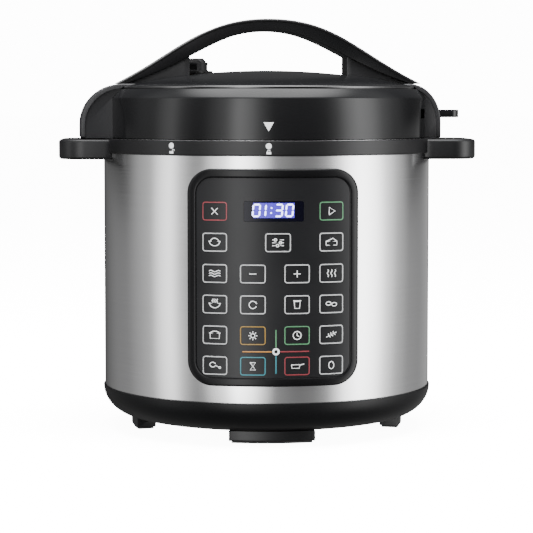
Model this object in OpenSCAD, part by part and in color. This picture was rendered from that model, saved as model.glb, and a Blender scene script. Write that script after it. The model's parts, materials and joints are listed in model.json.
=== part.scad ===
// Electric pressure cooker: a steel drum with a lift-out pot, a heating plate on a
// sprung dish, a control panel, and a twist-lock lid with its valves.
// The origin is on the floor under the pot's axis. The panel faces -Y and +Z is up.

/* [Inner pot] */
// Inside radius of the lift-out pot
pot_in_r = 110; // [90:1:135]
// Inside depth of the pot
pot_depth = 156; // [125:1:190]
// Thickness of the pot's wall
pot_wall = 1.2; // [0.8:0.1:2]
// How far the pot's rim stands out of its wall
rim_w = 9.3; // [8:0.1:12]

/* [Body] */
// Thickness of the steel drum
shell_wall = 0.8; // [0.6:0.1:1.2]
// Thickness of the liner that the pot drops into
liner_wall = 1; // [0.8:0.1:1.5]
// Thickness of the moulded base, collar and lid walls
mould_wall = 2.2; // [1.8:0.1:3]
// Height of the feet with their pads
foot_h = 10; // [8:0.5:14]
// Height of the black base bowl
bowl_h = 25; // [20:1:35]
// Height of the collar's outer band
band_h = 11.4; // [9:0.1:15]
// How far each side handle reaches past the collar
grip_reach = 34; // [28:1:42]
// Length of a side handle from front to back
grip_len = 92; // [70:1:110]

/* [Control panel] */
// Width of the panel's frame, straight across
panel_w = 133; // [110:1:150]
// How far the frame stands out of the drum
panel_proud = 6; // [4:0.5:8]
// Radius of the frame's corners
panel_corner = 19; // [10:1:24]
// Width of the frame's border
panel_border = 6.8; // [5:0.1:9]
// Width of the display's window
display_w = 46; // [36:1:56]
// Height of the display's window
display_h = 15.4; // [12:0.1:20]

/* [Lid] */
// Height of the lid's upright wall
lid_wall_h = 33; // [28:1:40]
// Height of the lid's dome above the top of that wall
dome_rise = 22.4; // [20:0.1:26]
// Height of the top of the carrying handle above the dome
handle_rise = 42.3; // [36:0.1:52]
// Half of the carrying handle's span
handle_span = 125.5; // [115:0.5:128]
// Depth of the carrying handle from front to back, at its middle
handle_depth = 40; // [32:1:50]
// Angle that the closed lid's handle stands turned from the body's X axis
lid_yaw = 3.6; // [0:0.1:6]
// Angle that the lid turns through from closed to open
lid_turn = 34; // [30:1:36]
// Number of bayonet lugs
lug_count = 6; // [5:1:6]

/* [Valves] */
// Radius of the steam valve's cap
cap_r = 15; // [12:0.5:16]
// Radius of the vent pipe
vent_r = 4; // [3:0.1:5]
// Radius of the float pin
float_r = 2.5; // [2:0.1:3]
// How far the float rises
float_rise = 6; // [4:0.5:7]

/* [Heating] */
// Radius of the heating plate
plate_r = 92; // [75:1:96]
// Thickness of the heating plate
plate_t = 12; // [9:0.5:14]
// Radius of the sensor's cap
sensor_r = 14; // [11:0.5:16]

/* [Hidden] */
$fn = 96;

// ---- fits and gaps ----
fit = 0.2;        // between pieces that are fastened together
run_gap = 0.3;    // between pieces that move past each other
pin_gap = 0.05;   // round a pin or a guided shaft
big = 500;        // longer than the cooker, for cutting

// ---- radial stack, from the pot outwards ----
pot_out_r = pot_in_r + pot_wall;
liner_in_r = pot_out_r + 2.3;
liner_out_r = liner_in_r + liner_wall;
rim_r = pot_out_r + rim_w;
flange_r = rim_r + 5;
skirt_in_r = flange_r + 1.8;
skirt_out_r = skirt_in_r + 1.3;
cover_in_r = skirt_out_r + fit;
cover_r = cover_in_r + mould_wall;
trough_r = cover_r + fit;
collar_skirt_t = mould_wall + 0.6;
shell_in_r = trough_r + collar_skirt_t + fit;
shell_r = shell_in_r + shell_wall;
collar_r = shell_r + 2;
base_r = shell_r + 1.2;
panel_back_r = shell_r + 0.15;
panel_r = shell_r + panel_proud;

// ---- levels, from the floor up ----
pad_t = 1.5;
base_z = foot_h;
seam_z = base_z + bowl_h;
seat_drop = 2;                       // how far the drum sits into the bowl
chassis_z = seam_z + fit;
chassis_t = 1.5;
liner_z = seam_z + 23;
plate_z = liner_z + 7.7;
pot_z = plate_z + plate_t + run_gap;
pot_floor_z = pot_z + pot_wall;
rim_z = pot_floor_z + pot_depth;     // top of the pot's rim
rim_t = 2.1;
flange_z = rim_z - rim_t - run_gap;  // top of the liner's flange
flange_t = 3;
collar_z = flange_z + 6.2;           // top of the collar
shell_top = collar_z - band_h;
trough_z = collar_z - 23;            // underside of the collar's trough
trough_t = 2;
lid_z = collar_z + run_gap;          // bottom of the lid's wall
wall_top = lid_z + lid_wall_h;
dome_z = wall_top + dome_rise;
handle_z = dome_z + handle_rise;

// ---- panel ----
panel_low = seam_z + 14;
panel_high = shell_top - 10;
panel_mid = (panel_low + panel_high) / 2;
panel_h = panel_high - panel_low;
display_z = panel_high - 32.6;
board_y = -(shell_r - 13.7);         // front face of the control board
board_t = 1.6;
board_w = 100;
post_x = 42;
post_z = panel_h / 2 - 20;
post_back = sqrt(panel_back_r * panel_back_r - post_x * post_x);

// ---- bayonet ----
lug_t = 2.8;
lug_z = flange_z - flange_t - 1.4 - lug_t;
lug_in_r = flange_r - 3.5;
notch_r = lug_in_r - 0.7;
lug_arc = 20;
notch_arc = 25;
plate_skirt_z = lug_z - 1;
plate_rim_z = rim_z + 11.8;          // underside of the lid plate over the seal
plate_top_z = plate_rim_z + 6;       // underside of the lid plate's raised middle
lid_plate_t = 1.5;

// ---- lid's outside ----
chamfer_w = 6.3;
chamfer_h = 7;
groove_w = 2;
lip_r = cover_r - chamfer_w - groove_w;
groove_z = wall_top + chamfer_h - 1.2;
dome_drop = 13.2;                    // fall of the dome from its middle to its lip
dome_ball = (lip_r * lip_r + dome_drop * dome_drop) / (2 * dome_drop);
lip_z = dome_z - dome_drop;

// ---- ears and handle ----
ear_half = 27;
left_reach = cover_r + 23.8;
right_reach = cover_r + 11.2;
web_x = 65;
web_half = handle_depth / 2 - 4;
cap_t = 2.6;
handle_end_z = dome_z - 10.7;

// ---- valves and lever, in the lid's own frame ----
vent_at = [-60, 50];
float_at = [-24, 58];
pivot_at = [cover_r - 31, 0];
lever_z = wall_top - 16.4;
lever_t = 6.5;
lever_w = 16;
lever_reach = cover_r + 30.7;
lever_swing = 14;
slider_w = 8;
slider_t = 2.5;
slider_z = plate_top_z + lid_plate_t + 4;
slider_travel = 4;

// ---- drip cup and inlet ----
cup_w = 65;
cup_h = 58;
cup_deep = 27;
cup_wall = 1.6;
cup_y = shell_r + 6.3;
cup_top = trough_z - 16;
inlet_z = seam_z + 27;
inlet_w = 44;
inlet_h = 34;
inlet_y = shell_r + 4.5;
socket_w = 24.6;
socket_h = 17;
socket_deep = 16;
pin_back = 23.5;                     // how far behind the inlet's face its pins end

// ==== shapes that repeat ====

function bezier(p, t) =
    p[0] * pow(1 - t, 3) + p[1] * 3 * pow(1 - t, 2) * t
    + p[2] * 3 * (1 - t) * t * t + p[3] * pow(t, 3);

function dome_at(r) = dome_z - dome_ball + sqrt(dome_ball * dome_ball - r * r);

module ring(r_in, r_out, z_low, z_high) {
    translate([0, 0, z_low]) difference() {
        cylinder(r = r_out, h = z_high - z_low);
        translate([0, 0, -1]) cylinder(r = r_in, h = z_high - z_low + 2);
    }
}

module sector(r_in, r_out, z_low, z_high, middle, arc) {
    rotate([0, 0, middle - arc / 2]) rotate_extrude(angle = arc)
        translate([r_in, z_low]) square([r_out - r_in, z_high - z_low]);
}

module block(x, y, z) {
    translate([x[0], y[0], z[0]]) cube([x[1] - x[0], y[1] - y[0], z[1] - z[0]]);
}

module rounded_rect(w, h, r) {
    square([w - 2 * r, h], center = true);
    square([w, h - 2 * r], center = true);
    for (sx = [-1, 1], sy = [-1, 1])
        translate([sx * (w / 2 - r), sy * (h / 2 - r)]) circle(r = r);
}

// a prism along Y with a rounded outline, between two distances in front of the axis
module front_prism(w, h, r, z) {
    translate([0, 0, z]) rotate([90, 0, 0]) linear_extrude(big) rounded_rect(w, h, r);
}

module panel_prism(inset) {
    front_prism(panel_w - 2 * inset, panel_h - 2 * inset,
        max(panel_corner - inset, 2), panel_mid);
}

// a flat outline in X and Z, drawn out to half its depth on each side
module side_slab(half) {
    rotate([90, 0, 0]) translate([0, 0, -half]) linear_extrude(2 * half) children();
}

module screw(head_r, head_t, shank_r, length) {
    cylinder(r = shank_r, h = length);
    translate([0, 0, -head_t]) difference() {
        cylinder(r = head_r, h = head_t);
        translate([0, 0, -1]) cylinder(r = head_r / 2, h = 1 + head_t / 2, $fn = 6);
    }
}

// a coil of round wire standing along Z
function coil_ring(r, wire, turns, height, k, steps, sides) =
    let (a = 360 * turns * k / steps, z = height * k / steps)
    [for (s = [0 : sides - 1]) let (b = 360 * s / sides)
        [(r + wire * cos(b)) * cos(a), (r + wire * cos(b)) * sin(a), z + wire * sin(b)]];

module coil(r, wire, turns, height, steps = 60, sides = 6) {
    points = [for (k = [0 : steps]) each coil_ring(r, wire, turns, height, k, steps, sides)];
    walls = [for (k = [0 : steps - 1], s = [0 : sides - 1]) let (n = (s + 1) % sides)
        each [[k * sides + s, k * sides + n, (k + 1) * sides + s],
              [k * sides + n, (k + 1) * sides + n, (k + 1) * sides + s]]];
    start = [for (s = [sides - 1 : -1 : 0]) s];
    finish = [for (s = [0 : sides - 1]) steps * sides + s];
    polyhedron(points = points, faces = concat(walls, [start, finish]));
}

module in_lid() {
    rotate([0, 0, lid_yaw]) children();
}

// ==== base ====

bowl_steps = 10;
bowl_in_r = base_r - 28.2;

module bowl_outline(shrink) {
    polygon(concat(
        [[0, base_z + shrink], [bowl_in_r, base_z + shrink]],
        [for (k = [1 : bowl_steps]) let (t = 90 * k / bowl_steps)
            [bowl_in_r + (base_r - bowl_in_r - shrink) * sin(t),
             seam_z - (bowl_h - shrink) * cos(t)]],
        [[0, seam_z]]));
}

screw_r = 85;

module base_cover() {
    color("#141416") difference() {
        union() {
            difference() {
                rotate_extrude() bowl_outline(0);
                rotate_extrude() bowl_outline(mould_wall + 0.3);
            }
            // ledge that the drum stands on
            difference() {
                ring(base_r - 4.5, base_r - 0.6, seam_z - 6, seam_z);
                ring(1, shell_r + 0.1, seam_z - seat_drop, seam_z + 1);
            }
            for (a = [45 : 90 : 315]) rotate([0, 0, a]) translate([screw_r, 0, base_z + 2])
                cylinder(r = 4.5, h = chassis_z - base_z - 2 - fit);
            for (x = [-48, 48], y = [-88, -42]) translate([x, y, base_z + 2])
                cylinder(r = 3, h = 6);
        }
        for (a = [45 : 90 : 315]) rotate([0, 0, a]) translate([screw_r, 0, base_z - 1]) {
            cylinder(r = 2.1, h = bowl_h + 2);
            cylinder(r = 4.2, h = 4);
        }
        // cooling slots under the board
        for (k = [-5 : 5]) block([k * 9 - 1.5, k * 9 + 1.5], [10, 50], [base_z - 1, base_z + 4]);
        ring(shell_in_r - 0.1, shell_r + 0.1, seam_z - seat_drop, seam_z + 1);
    }
}

foot_mid_r = 105 + shell_r - 135;
foot_arc = 35.4;

module feet() {
    color("#101012") for (a = [0 : 90 : 270])
        sector(foot_mid_r - 8, foot_mid_r + 8, pad_t, base_z, a, foot_arc);
}

module foot_pads() {
    color("#1c1c1e") for (a = [0 : 90 : 270])
        sector(foot_mid_r - 6.5, foot_mid_r + 6.5, 0, pad_t, a, foot_arc - 2);
}

module base_screws() {
    color("#9a9ca0") for (a = [45 : 90 : 315]) rotate([0, 0, a])
        translate([screw_r, 0, base_z + 3]) screw(4, 2, 2, chassis_z - base_z - 3 + chassis_t);
}

post_r = liner_out_r - 9;

module chassis_plate() {
    color("#8d9094") difference() {
        translate([0, 0, chassis_z]) cylinder(r = shell_in_r - fit, h = chassis_t);
        translate([0, 0, chassis_z - 1]) cylinder(r = 14, h = chassis_t + 2);
        for (a = [45 : 90 : 315]) rotate([0, 0, a]) translate([screw_r, 0, chassis_z - 1])
            cylinder(r = 2.05, h = chassis_t + 2);
        // way through for the leads
        block([28, 52], [-74, -54], [chassis_z - 1, chassis_z + 3]);
        block([-12, 12], [inlet_y - 45, inlet_y - 15.5], [chassis_z - 1, chassis_z + 3]);
    }
}

module standoffs() {
    color("#b9bbbe") for (a = [30 : 120 : 270]) rotate([0, 0, a])
        translate([post_r, 0, chassis_z + chassis_t])
        cylinder(r = 5, h = liner_z - chassis_z - chassis_t - 1.2);
}

// ==== drum, collar and liner ====

module outer_shell() {
    color("#c4c6c8") difference() {
        ring(shell_in_r, shell_r, seam_z - seat_drop, shell_top - fit);
        panel_prism(9);
        block([-inlet_w / 2 + 3, inlet_w / 2 - 3], [shell_r - 30, shell_r + 5],
            [inlet_z - inlet_h / 2 + 3, inlet_z + inlet_h / 2 - 3]);
        translate([0, shell_r - 20, spout_z]) rotate([-90, 0, 0]) cylinder(r = spout_r + fit, h = 40);
        for (x = [-24, 24]) translate([x, shell_r - 20, cup_top - 40]) rotate([-90, 0, 0])
            cylinder(r = 2.1, h = 40);
    }
}

grip_low = collar_z - 16.7;
grip_top = collar_z - 0.4;
grip_end = collar_r + grip_reach;
grip_corner = 22;
grip_wall = 3.2;

module grip_plan(inset) {
    length = 60;
    translate([grip_end - inset - length / 2, 0])
        rounded_rect(length, grip_len - 2 * inset, grip_corner - inset);
}

module side_grip() {
    difference() {
        translate([0, 0, grip_low]) linear_extrude(grip_top - grip_low) grip_plan(0);
        difference() {
            translate([0, 0, grip_low - 1]) linear_extrude(grip_top - grip_low + 1 - grip_wall)
                grip_plan(grip_wall);
            cylinder(r = collar_r + 1, h = big);
        }
        translate([0, 0, grip_low - 1]) cylinder(r = shell_r + fit, h = shell_top - grip_low + 1);
        cylinder(r = trough_r + 1, h = big);
    }
}

module top_collar() {
    color("#121214") difference() {
        union() {
            ring(trough_r, collar_r, shell_top, collar_z);
            ring(trough_r, trough_r + collar_skirt_t, trough_z, collar_z);
            ring(liner_out_r + 1.5, trough_r + 1, trough_z, trough_z + trough_t);
            ring(liner_out_r + 1.5, liner_out_r + 3, trough_z, flange_z - flange_t - fit);
            side_grip();
            mirror([1, 0, 0]) side_grip();
            for (a = [45 : 90 : 315]) rotate([0, 0, a]) translate([trough_mid_r, 0, trough_z - 8])
                cylinder(r = 3.5, h = 9);
        }
        translate([0, trough_mid_r, trough_z - 1]) cylinder(r = spout_r - 1.5, h = 5);
        for (a = [45 : 90 : 315]) rotate([0, 0, a]) translate([trough_mid_r, 0, trough_z - 9])
            cylinder(r = 1.6, h = 8);
    }
}

trough_mid_r = (liner_out_r + 3 + trough_r) / 2;

module collar_screws() {
    color("#9a9ca0") for (a = [45 : 90 : 315]) rotate([0, 0, a])
        translate([trough_mid_r, 0, trough_z - 8 - 1.2]) screw(3.4, 1.8, 1.5, 7);
}

module liner_pot() {
    color("#a9abae") difference() {
        union() {
            ring(liner_in_r, liner_out_r, liner_z, flange_z);
            ring(liner_in_r, flange_r, flange_z - flange_t, flange_z);
            ring(plate_r + 3.5, liner_out_r, liner_z, liner_z + 1.2);
            // ears that the collar's screws hold
            for (a = [45 : 90 : 315]) rotate([0, 0, a])
                block([liner_out_r - 0.5, trough_mid_r + 4], [-5, 5],
                    [trough_z - 9.2, trough_z - 8]);
        }
        for (k = [0 : lug_count - 1])
            sector(notch_r, flange_r + 1, flange_z - flange_t - 1, flange_z + 1,
                first_lug - lid_turn + k * 360 / lug_count, notch_arc);
        for (a = [45 : 90 : 315]) rotate([0, 0, a]) translate([trough_mid_r, 0, trough_z - 10])
            cylinder(r = 1.55, h = 3);
        for (a = [30 : 120 : 270]) rotate([0, 0, a]) translate([post_r, 0, liner_z - 1])
            cylinder(r = 2, h = 4);
    }
}

first_lug = lid_yaw + 30;

module thermal_fuse() {
    color("#d8d2c4") rotate([0, 0, 200]) {
        translate([liner_out_r + 3.1, 0, liner_z + 30]) rotate([90, 0, 0])
            cylinder(r = 3, h = 24, center = true);
        for (y = [-9, 9]) block([liner_out_r + 0.2, liner_out_r + 6.6], [y - 2, y + 2],
            [liner_z + 33.2, liner_z + 34.4]);
    }
}

// ==== heating ====

element_r = plate_r - 22;
element_tube = 4;
element_z = plate_z + 2.4;
terminal_arc = 24;
dish_t = 1.2;
dish_flat_r = element_r - 14;
dish_in_r = sensor_r + 8;
dish_low = liner_z - dish_t;
dish_high = plate_z - dish_t;

// section of the element's tube, pressed to eight flats
module tube_outline(r) {
    translate([element_r, element_z]) rotate(22.5)
        polygon([for (k = [0 : 7]) r * [cos(45 * k), sin(45 * k)]]);
}

module terminals(r, z_low, z_high) {
    for (s = [-1, 1]) rotate([0, 0, 90 + s * (terminal_arc / 2 + 4)])
        translate([element_r, 0, z_low]) cylinder(r = r, h = z_high - z_low);
}

module spring_dish() {
    color("#b4b0a6") difference() {
        rotate_extrude() polygon([
            [dish_in_r, dish_high], [dish_flat_r, dish_high],
            [plate_r + 2, dish_low], [plate_r + 12, dish_low],
            [plate_r + 12, dish_low + dish_t], [plate_r + 2, dish_low + dish_t],
            [dish_flat_r, dish_high + dish_t], [dish_in_r, dish_high + dish_t]]);
        terminals(element_tube + 1.5, dish_low - 5, plate_z + 5);
        for (a = [30 : 120 : 270]) rotate([0, 0, a]) translate([post_r, 0, dish_low - 1])
            cylinder(r = 2, h = 4);
    }
}

module heating_plate() {
    color("#c9cbce") difference() {
        translate([0, 0, plate_z]) cylinder(r = plate_r, h = plate_t);
        translate([0, 0, plate_z - 1]) cylinder(r = sensor_r + 3, h = plate_t + 2);
        rotate_extrude() tube_outline(element_tube + 0.1);
        // shallow rings turned in the face
        for (r = [30 : 12 : plate_r - 8]) ring(r, r + 1.2, plate_z + plate_t - 0.4, plate_z + plate_t + 1);
    }
}

module heating_element() {
    color("#6d6a66") {
        rotate([0, 0, 90 + terminal_arc / 2]) rotate_extrude(angle = 360 - terminal_arc)
            tube_outline(element_tube);
        terminals(element_tube - 1, liner_z - 12, element_z);
    }
}

module pressure_switch() {
    color("#2f2f33") difference() {
        union() {
            block([26, 50], [-12, 12], [chassis_z + chassis_t, chassis_z + chassis_t + 14]);
            translate([38, 0, chassis_z + chassis_t + 13]) cylinder(r = 3, h = 4);
        }
        for (y = [-8, 8]) translate([31, y, chassis_z]) cylinder(r = 1.6, h = 30);
    }
}

sleeve_wall = 2.4;

module sensor_sleeve() {
    color("#e4e0d6") difference() {
        union() {
            ring(1, sensor_r + sleeve_wall, dish_high - 12, plate_z + 5);
            ring(1, dish_in_r + 5, dish_high - 2, dish_high);
        }
        translate([0, 0, dish_high - 10]) cylinder(r = sensor_r + pin_gap, h = 40);
        translate([0, 0, dish_high - 20]) cylinder(r = 5, h = 40);
    }
}

// ==== panel ====

module panel_bezel() {
    color("#1b1c1f") difference() {
        union() {
            intersection() {
                panel_prism(0);
                ring(panel_back_r, panel_r, panel_low - 1, panel_high + 1);
            }
            for (x = [-post_x, post_x], s = [-1, 1])
                translate([x, board_y, panel_mid + s * post_z]) rotate([90, 0, 0])
                cylinder(r = 3.2, h = post_back + board_y + 3);
        }
        intersection() {
            panel_prism(panel_border);
            ring(panel_r - 1.6, panel_r + 5, panel_low, panel_high);
        }
        front_prism(display_w + 2, display_h + 2, 2, display_z);
        for (x = [-post_x, post_x], s = [-1, 1])
            translate([x, board_y + 1, panel_mid + s * post_z]) rotate([90, 0, 0])
            cylinder(r = 1.3, h = 7);
    }
}

module panel_overlay() {
    color("#2b2d31") difference() {
        intersection() {
            panel_prism(panel_border + fit);
            ring(panel_r - 1.5, panel_r - 0.7, panel_low, panel_high);
        }
        front_prism(display_w + 0.4, display_h + 0.4, 1.2, display_z);
    }
}

module display_window() {
    color([0.05, 0.06, 0.16, 0.7]) intersection() {
        front_prism(display_w, display_h, 1, display_z);
        ring(panel_r - 2.6, panel_r - 0.7, panel_low, panel_high);
    }
}

module display_module() {
    color("#23252b") block([-26, 26], [board_y - 9, board_y - fit],
        [display_z - 12.5, display_z + 12.5]);
}

module control_board() {
    color("#1f6b3a") difference() {
        block([-board_w / 2, board_w / 2], [board_y, board_y + board_t],
            [panel_mid - panel_h / 2 + 12, panel_mid + panel_h / 2 - 12]);
        for (x = [-post_x, post_x], s = [-1, 1])
            translate([x, board_y - 1, panel_mid + s * post_z]) rotate([-90, 0, 0])
            cylinder(r = 1.4, h = 5);
    }
}

module board_components() {
    color("#222226") {
        back = board_y + board_t;
        block([-10, 10], [back, back + 2.2], [panel_mid + 6, panel_mid + 26]);
        for (x = [-34, -24, 24, 34]) block([x - 3, x + 3], [back, back + 1.8],
            [panel_mid - 20, panel_mid - 12]);
        block([-24, 24], [back, back + 2.6], [panel_mid - 46, panel_mid - 38]);
    }
}

module board_screws() {
    color("#b0b2b5") for (x = [-post_x, post_x], s = [-1, 1])
        translate([x, board_y + board_t, panel_mid + s * post_z]) rotate([90, 0, 0])
        screw(2.6, 1.4, 1.2, 7);
}

// ==== power ====

power_z = base_z + 8;

module power_board() {
    color("#b98d4a") difference() {
        block([-55, 55], [-95, -35], [power_z, power_z + board_t]);
        for (x = [-48, 48], y = [-88, -42]) translate([x, y, power_z - 1]) cylinder(r = 1.5, h = 4);
    }
}

module power_components() {
    top = power_z + board_t;
    color("#d9b43a") block([-40, -18], [-84, -62], [top, top + 12]);
    color("#2c2c30") block([0, 20], [-90, -74], [top, top + 11]);
    color("#3a4f8f") translate([36, -76, top]) cylinder(r = 6.5, h = 12);
    color("#30343a") block([-12, 14], [-56, -44], [top, top + 8]);
    color("#efe9dc") block([24, 44], [-52, -44], [top, top + 9]);
}

module socket_outline() {
    cut = 4.5;
    polygon([
        [-socket_w / 2, -socket_h / 2], [socket_w / 2, -socket_h / 2],
        [socket_w / 2, socket_h / 2 - cut], [socket_w / 2 - cut, socket_h / 2],
        [-socket_w / 2 + cut, socket_h / 2], [-socket_w / 2, socket_h / 2 - cut]]);
}

module inlet_socket() {
    color("#101012") difference() {
        union() {
            difference() {
                translate([0, inlet_y, inlet_z]) rotate([90, 0, 0])
                    linear_extrude(20) rounded_rect(inlet_w, inlet_h, 5);
                cylinder(r = shell_r + 0.1, h = big);
            }
            block([-inlet_w / 2 + 4, inlet_w / 2 - 4], [inlet_y - 22, inlet_y - 1],
                [inlet_z - inlet_h / 2 + 4, inlet_z + inlet_h / 2 - 4]);
        }
        translate([0, inlet_y + 1, inlet_z]) rotate([90, 0, 0])
            linear_extrude(socket_deep + 1) socket_outline();
        for (s = inlet_pin_places()) translate([s[0], 0, s[1]])
            block([-1.1, 1.1], [inlet_y - 40, inlet_y], [inlet_z - 2.1, inlet_z + 2.1]);
    }
}

function inlet_pin_places() = [[-7, -2], [7, -2], [0, 2]];

module inlet_pins() {
    color("#c8a24a") for (s = inlet_pin_places()) translate([s[0], 0, s[1]])
        block([-1, 1], [inlet_y - pin_back, inlet_y - 4], [inlet_z - 2, inlet_z + 2]);
}

// leads between the inlet, the boards and the element, each swept along one curve
lead_sides = 8;
lead_steps = 18;
lead_side_way = [0.31, 0.17, 0.11];

module lead(p, r) {
    step = 1 / lead_steps;
    points = [for (k = [0 : lead_steps]) let (
            t = k * step,
            way = bezier(p, t + step / 9) - bezier(p, t - step / 9),
            u = cross(way, lead_side_way) / norm(cross(way, lead_side_way)),
            v = cross(way, u) / norm(way))
        for (s = [0 : lead_sides - 1]) let (b = 360 * s / lead_sides)
            bezier(p, t) + r * (u * cos(b) + v * sin(b))];
    walls = [for (k = [0 : lead_steps - 1], s = [0 : lead_sides - 1])
        let (n = (s + 1) % lead_sides, i = k * lead_sides, j = i + lead_sides)
        each [[i + s, j + s, i + n], [i + n, j + s, j + n]]];
    start = [for (s = [0 : lead_sides - 1]) s];
    finish = [for (s = [lead_sides - 1 : -1 : 0]) lead_steps * lead_sides + s];
    polyhedron(points = points, faces = concat(walls, [start, finish]));
}

module inner_wiring() {
    from_y = inlet_y - pin_back;
    top = power_z + board_t + 1.5;
    color("#b5402f") lead([[-7, from_y, inlet_z - 4], [-7, from_y, chassis_z - 15],
        [-7, from_y - 56, top], [-30, -40, top]], 1.3);
    color("#3a63a8") lead([[7, from_y, inlet_z - 4], [7, from_y, chassis_z - 15],
        [7, from_y - 56, top], [34, -40, top]], 1.3);
    color("#d8d8d8") lead([[40, -60, top + 0.3], [40, -62, chassis_z + 25],
        [40, board_y + 3.3, chassis_z - 5], [36, board_y + 3.3, chassis_z + 31]], 1.6);
}

// ==== drip catching ====

spout_r = 4;
spout_z = trough_z - 9;
spout_end = cup_y + 6;

module drip_spout() {
    color("#18181a") difference() {
        union() {
            translate([0, trough_mid_r, spout_z]) cylinder(r = spout_r, h = trough_z - spout_z - 0.1);
            translate([0, trough_mid_r, spout_z]) rotate([-90, 0, 0])
                cylinder(r = spout_r, h = spout_end - trough_mid_r);
            translate([0, trough_mid_r, spout_z]) sphere(r = spout_r);
        }
        translate([0, trough_mid_r, spout_z]) cylinder(r = spout_r - 1.5, h = 20);
        translate([0, trough_mid_r, spout_z]) rotate([-90, 0, 0]) cylinder(r = spout_r - 1.5, h = 40);
    }
}

rail_out = cup_w / 2 + 5.5;

module cup_bracket() {
    color("#151517") difference() {
        union() {
            block([-rail_out, rail_out], [shell_r - 12, cup_y - run_gap],
                [cup_top - cup_h - 2, trough_z - 2]);
            for (s = [-1, 1]) mirror([s < 0 ? 1 : 0, 0, 0]) {
                block([rail_out - 2, rail_out], [cup_y - 1, cup_y + cup_deep - 6],
                    [cup_top - 8, cup_top + 2]);
                block([cup_w / 2 + run_gap, rail_out], [cup_y - 1, cup_y + cup_deep - 6],
                    [cup_top - 8, cup_top - 5.5]);
            }
        }
        cylinder(r = shell_r + 0.15, h = big);
        translate([0, shell_r - 10, spout_z]) rotate([-90, 0, 0]) cylinder(r = spout_r + 0.1, h = 60);
        for (x = [-24, 24]) translate([x, shell_r - 20, cup_top - 40]) rotate([-90, 0, 0])
            cylinder(r = 2.1, h = 60);
    }
}

module drip_cup() {
    low = cup_top - cup_h;
    color([0.78, 0.8, 0.82, 0.55]) difference() {
        union() {
            translate([0, cup_y + cup_deep / 2, low])
                linear_extrude(cup_h - 1) rounded_rect(cup_w, cup_deep, 5);
            translate([0, cup_y + cup_deep / 2, cup_top - 5])
                linear_extrude(2.5) rounded_rect(cup_w + 6, cup_deep, 5);
        }
        translate([0, cup_y + cup_deep / 2, low + cup_wall])
            linear_extrude(cup_h) rounded_rect(cup_w - 2 * cup_wall, cup_deep - 2 * cup_wall, 3.5);
    }
}

// ==== pot, sensor and seal ====

pot_corner = 9;
corner_steps = 6;

function pot_corner_points(r) = [for (k = [0 : corner_steps]) let (t = 90 * k / corner_steps)
    [pot_out_r - pot_corner + r * sin(t), pot_z + pot_corner - r * cos(t)]];

module inner_pot() {
    inside = pot_corner - pot_wall;
    color("#d0d2d4") rotate_extrude() polygon(concat(
        [[0, pot_z]], pot_corner_points(pot_corner),
        [[pot_out_r, rim_z - rim_t], [rim_r, rim_z - rim_t], [rim_r, rim_z - 0.6],
         [rim_r - 0.6, rim_z], [pot_in_r + 1, rim_z], [pot_in_r, rim_z - 1]],
        [for (k = [corner_steps : -1 : 0]) pot_corner_points(inside)[k]],
        [[0, pot_floor_z]]));
}

sensor_top = pot_z - run_gap / 2;
sensor_travel = 3;

module sensor_cap() {
    color("#c2c4c6") difference() {
        union() {
            translate([0, 0, plate_z - 0.5]) cylinder(r = sensor_r, h = sensor_top - plate_z + 0.5 - 1);
            translate([0, 0, sensor_top - 1]) cylinder(r1 = sensor_r, r2 = sensor_r - 1, h = 1);
        }
        translate([0, 0, plate_z - 2]) cylinder(r = sensor_r - 1.5, h = sensor_top - plate_z - 2);
    }
}

module sensor_spring() {
    wire = 0.8;
    color("#8e9093") translate([0, 0, dish_high - 10 + wire])
        coil(sensor_r - 4, wire, 6, sensor_top - 4 - dish_high + 10 - 2 * wire);
}

ring_low = rim_z + run_gap;
ring_high = plate_rim_z - run_gap;

module sealing_ring() {
    r_in = pot_in_r + 1.3;
    r_out = rim_r + 0.8;
    color([0.93, 0.93, 0.9, 0.9]) rotate_extrude() polygon([
        [r_in, ring_low], [r_out - 1, ring_low], [r_out, ring_low + 1],
        [r_out, ring_high - 1], [r_out - 1, ring_high], [r_in, ring_high],
        [r_in, ring_high - 2.4], [r_in + 4.5, ring_high - 3.2],
        [r_in + 4.5, ring_low + 3.2], [r_in, ring_low + 2.4]]);
}

// ==== lid ====

dome_steps = 16;

// outline of the lid's outside, lowered and drawn in by the given amount
module cover_outline(inset) {
    edge = cover_r - inset;
    polygon(concat(
        [for (k = [0 : dome_steps]) let (r = (lip_r - inset) * k / dome_steps) [r, dome_at(r) - inset]],
        [[edge - chamfer_w, wall_top + chamfer_h - inset], [edge, wall_top - inset / 2],
         [edge, lid_z - (inset > 0 ? 1 : 0)], [0, lid_z - (inset > 0 ? 1 : 0)]]));
}

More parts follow.
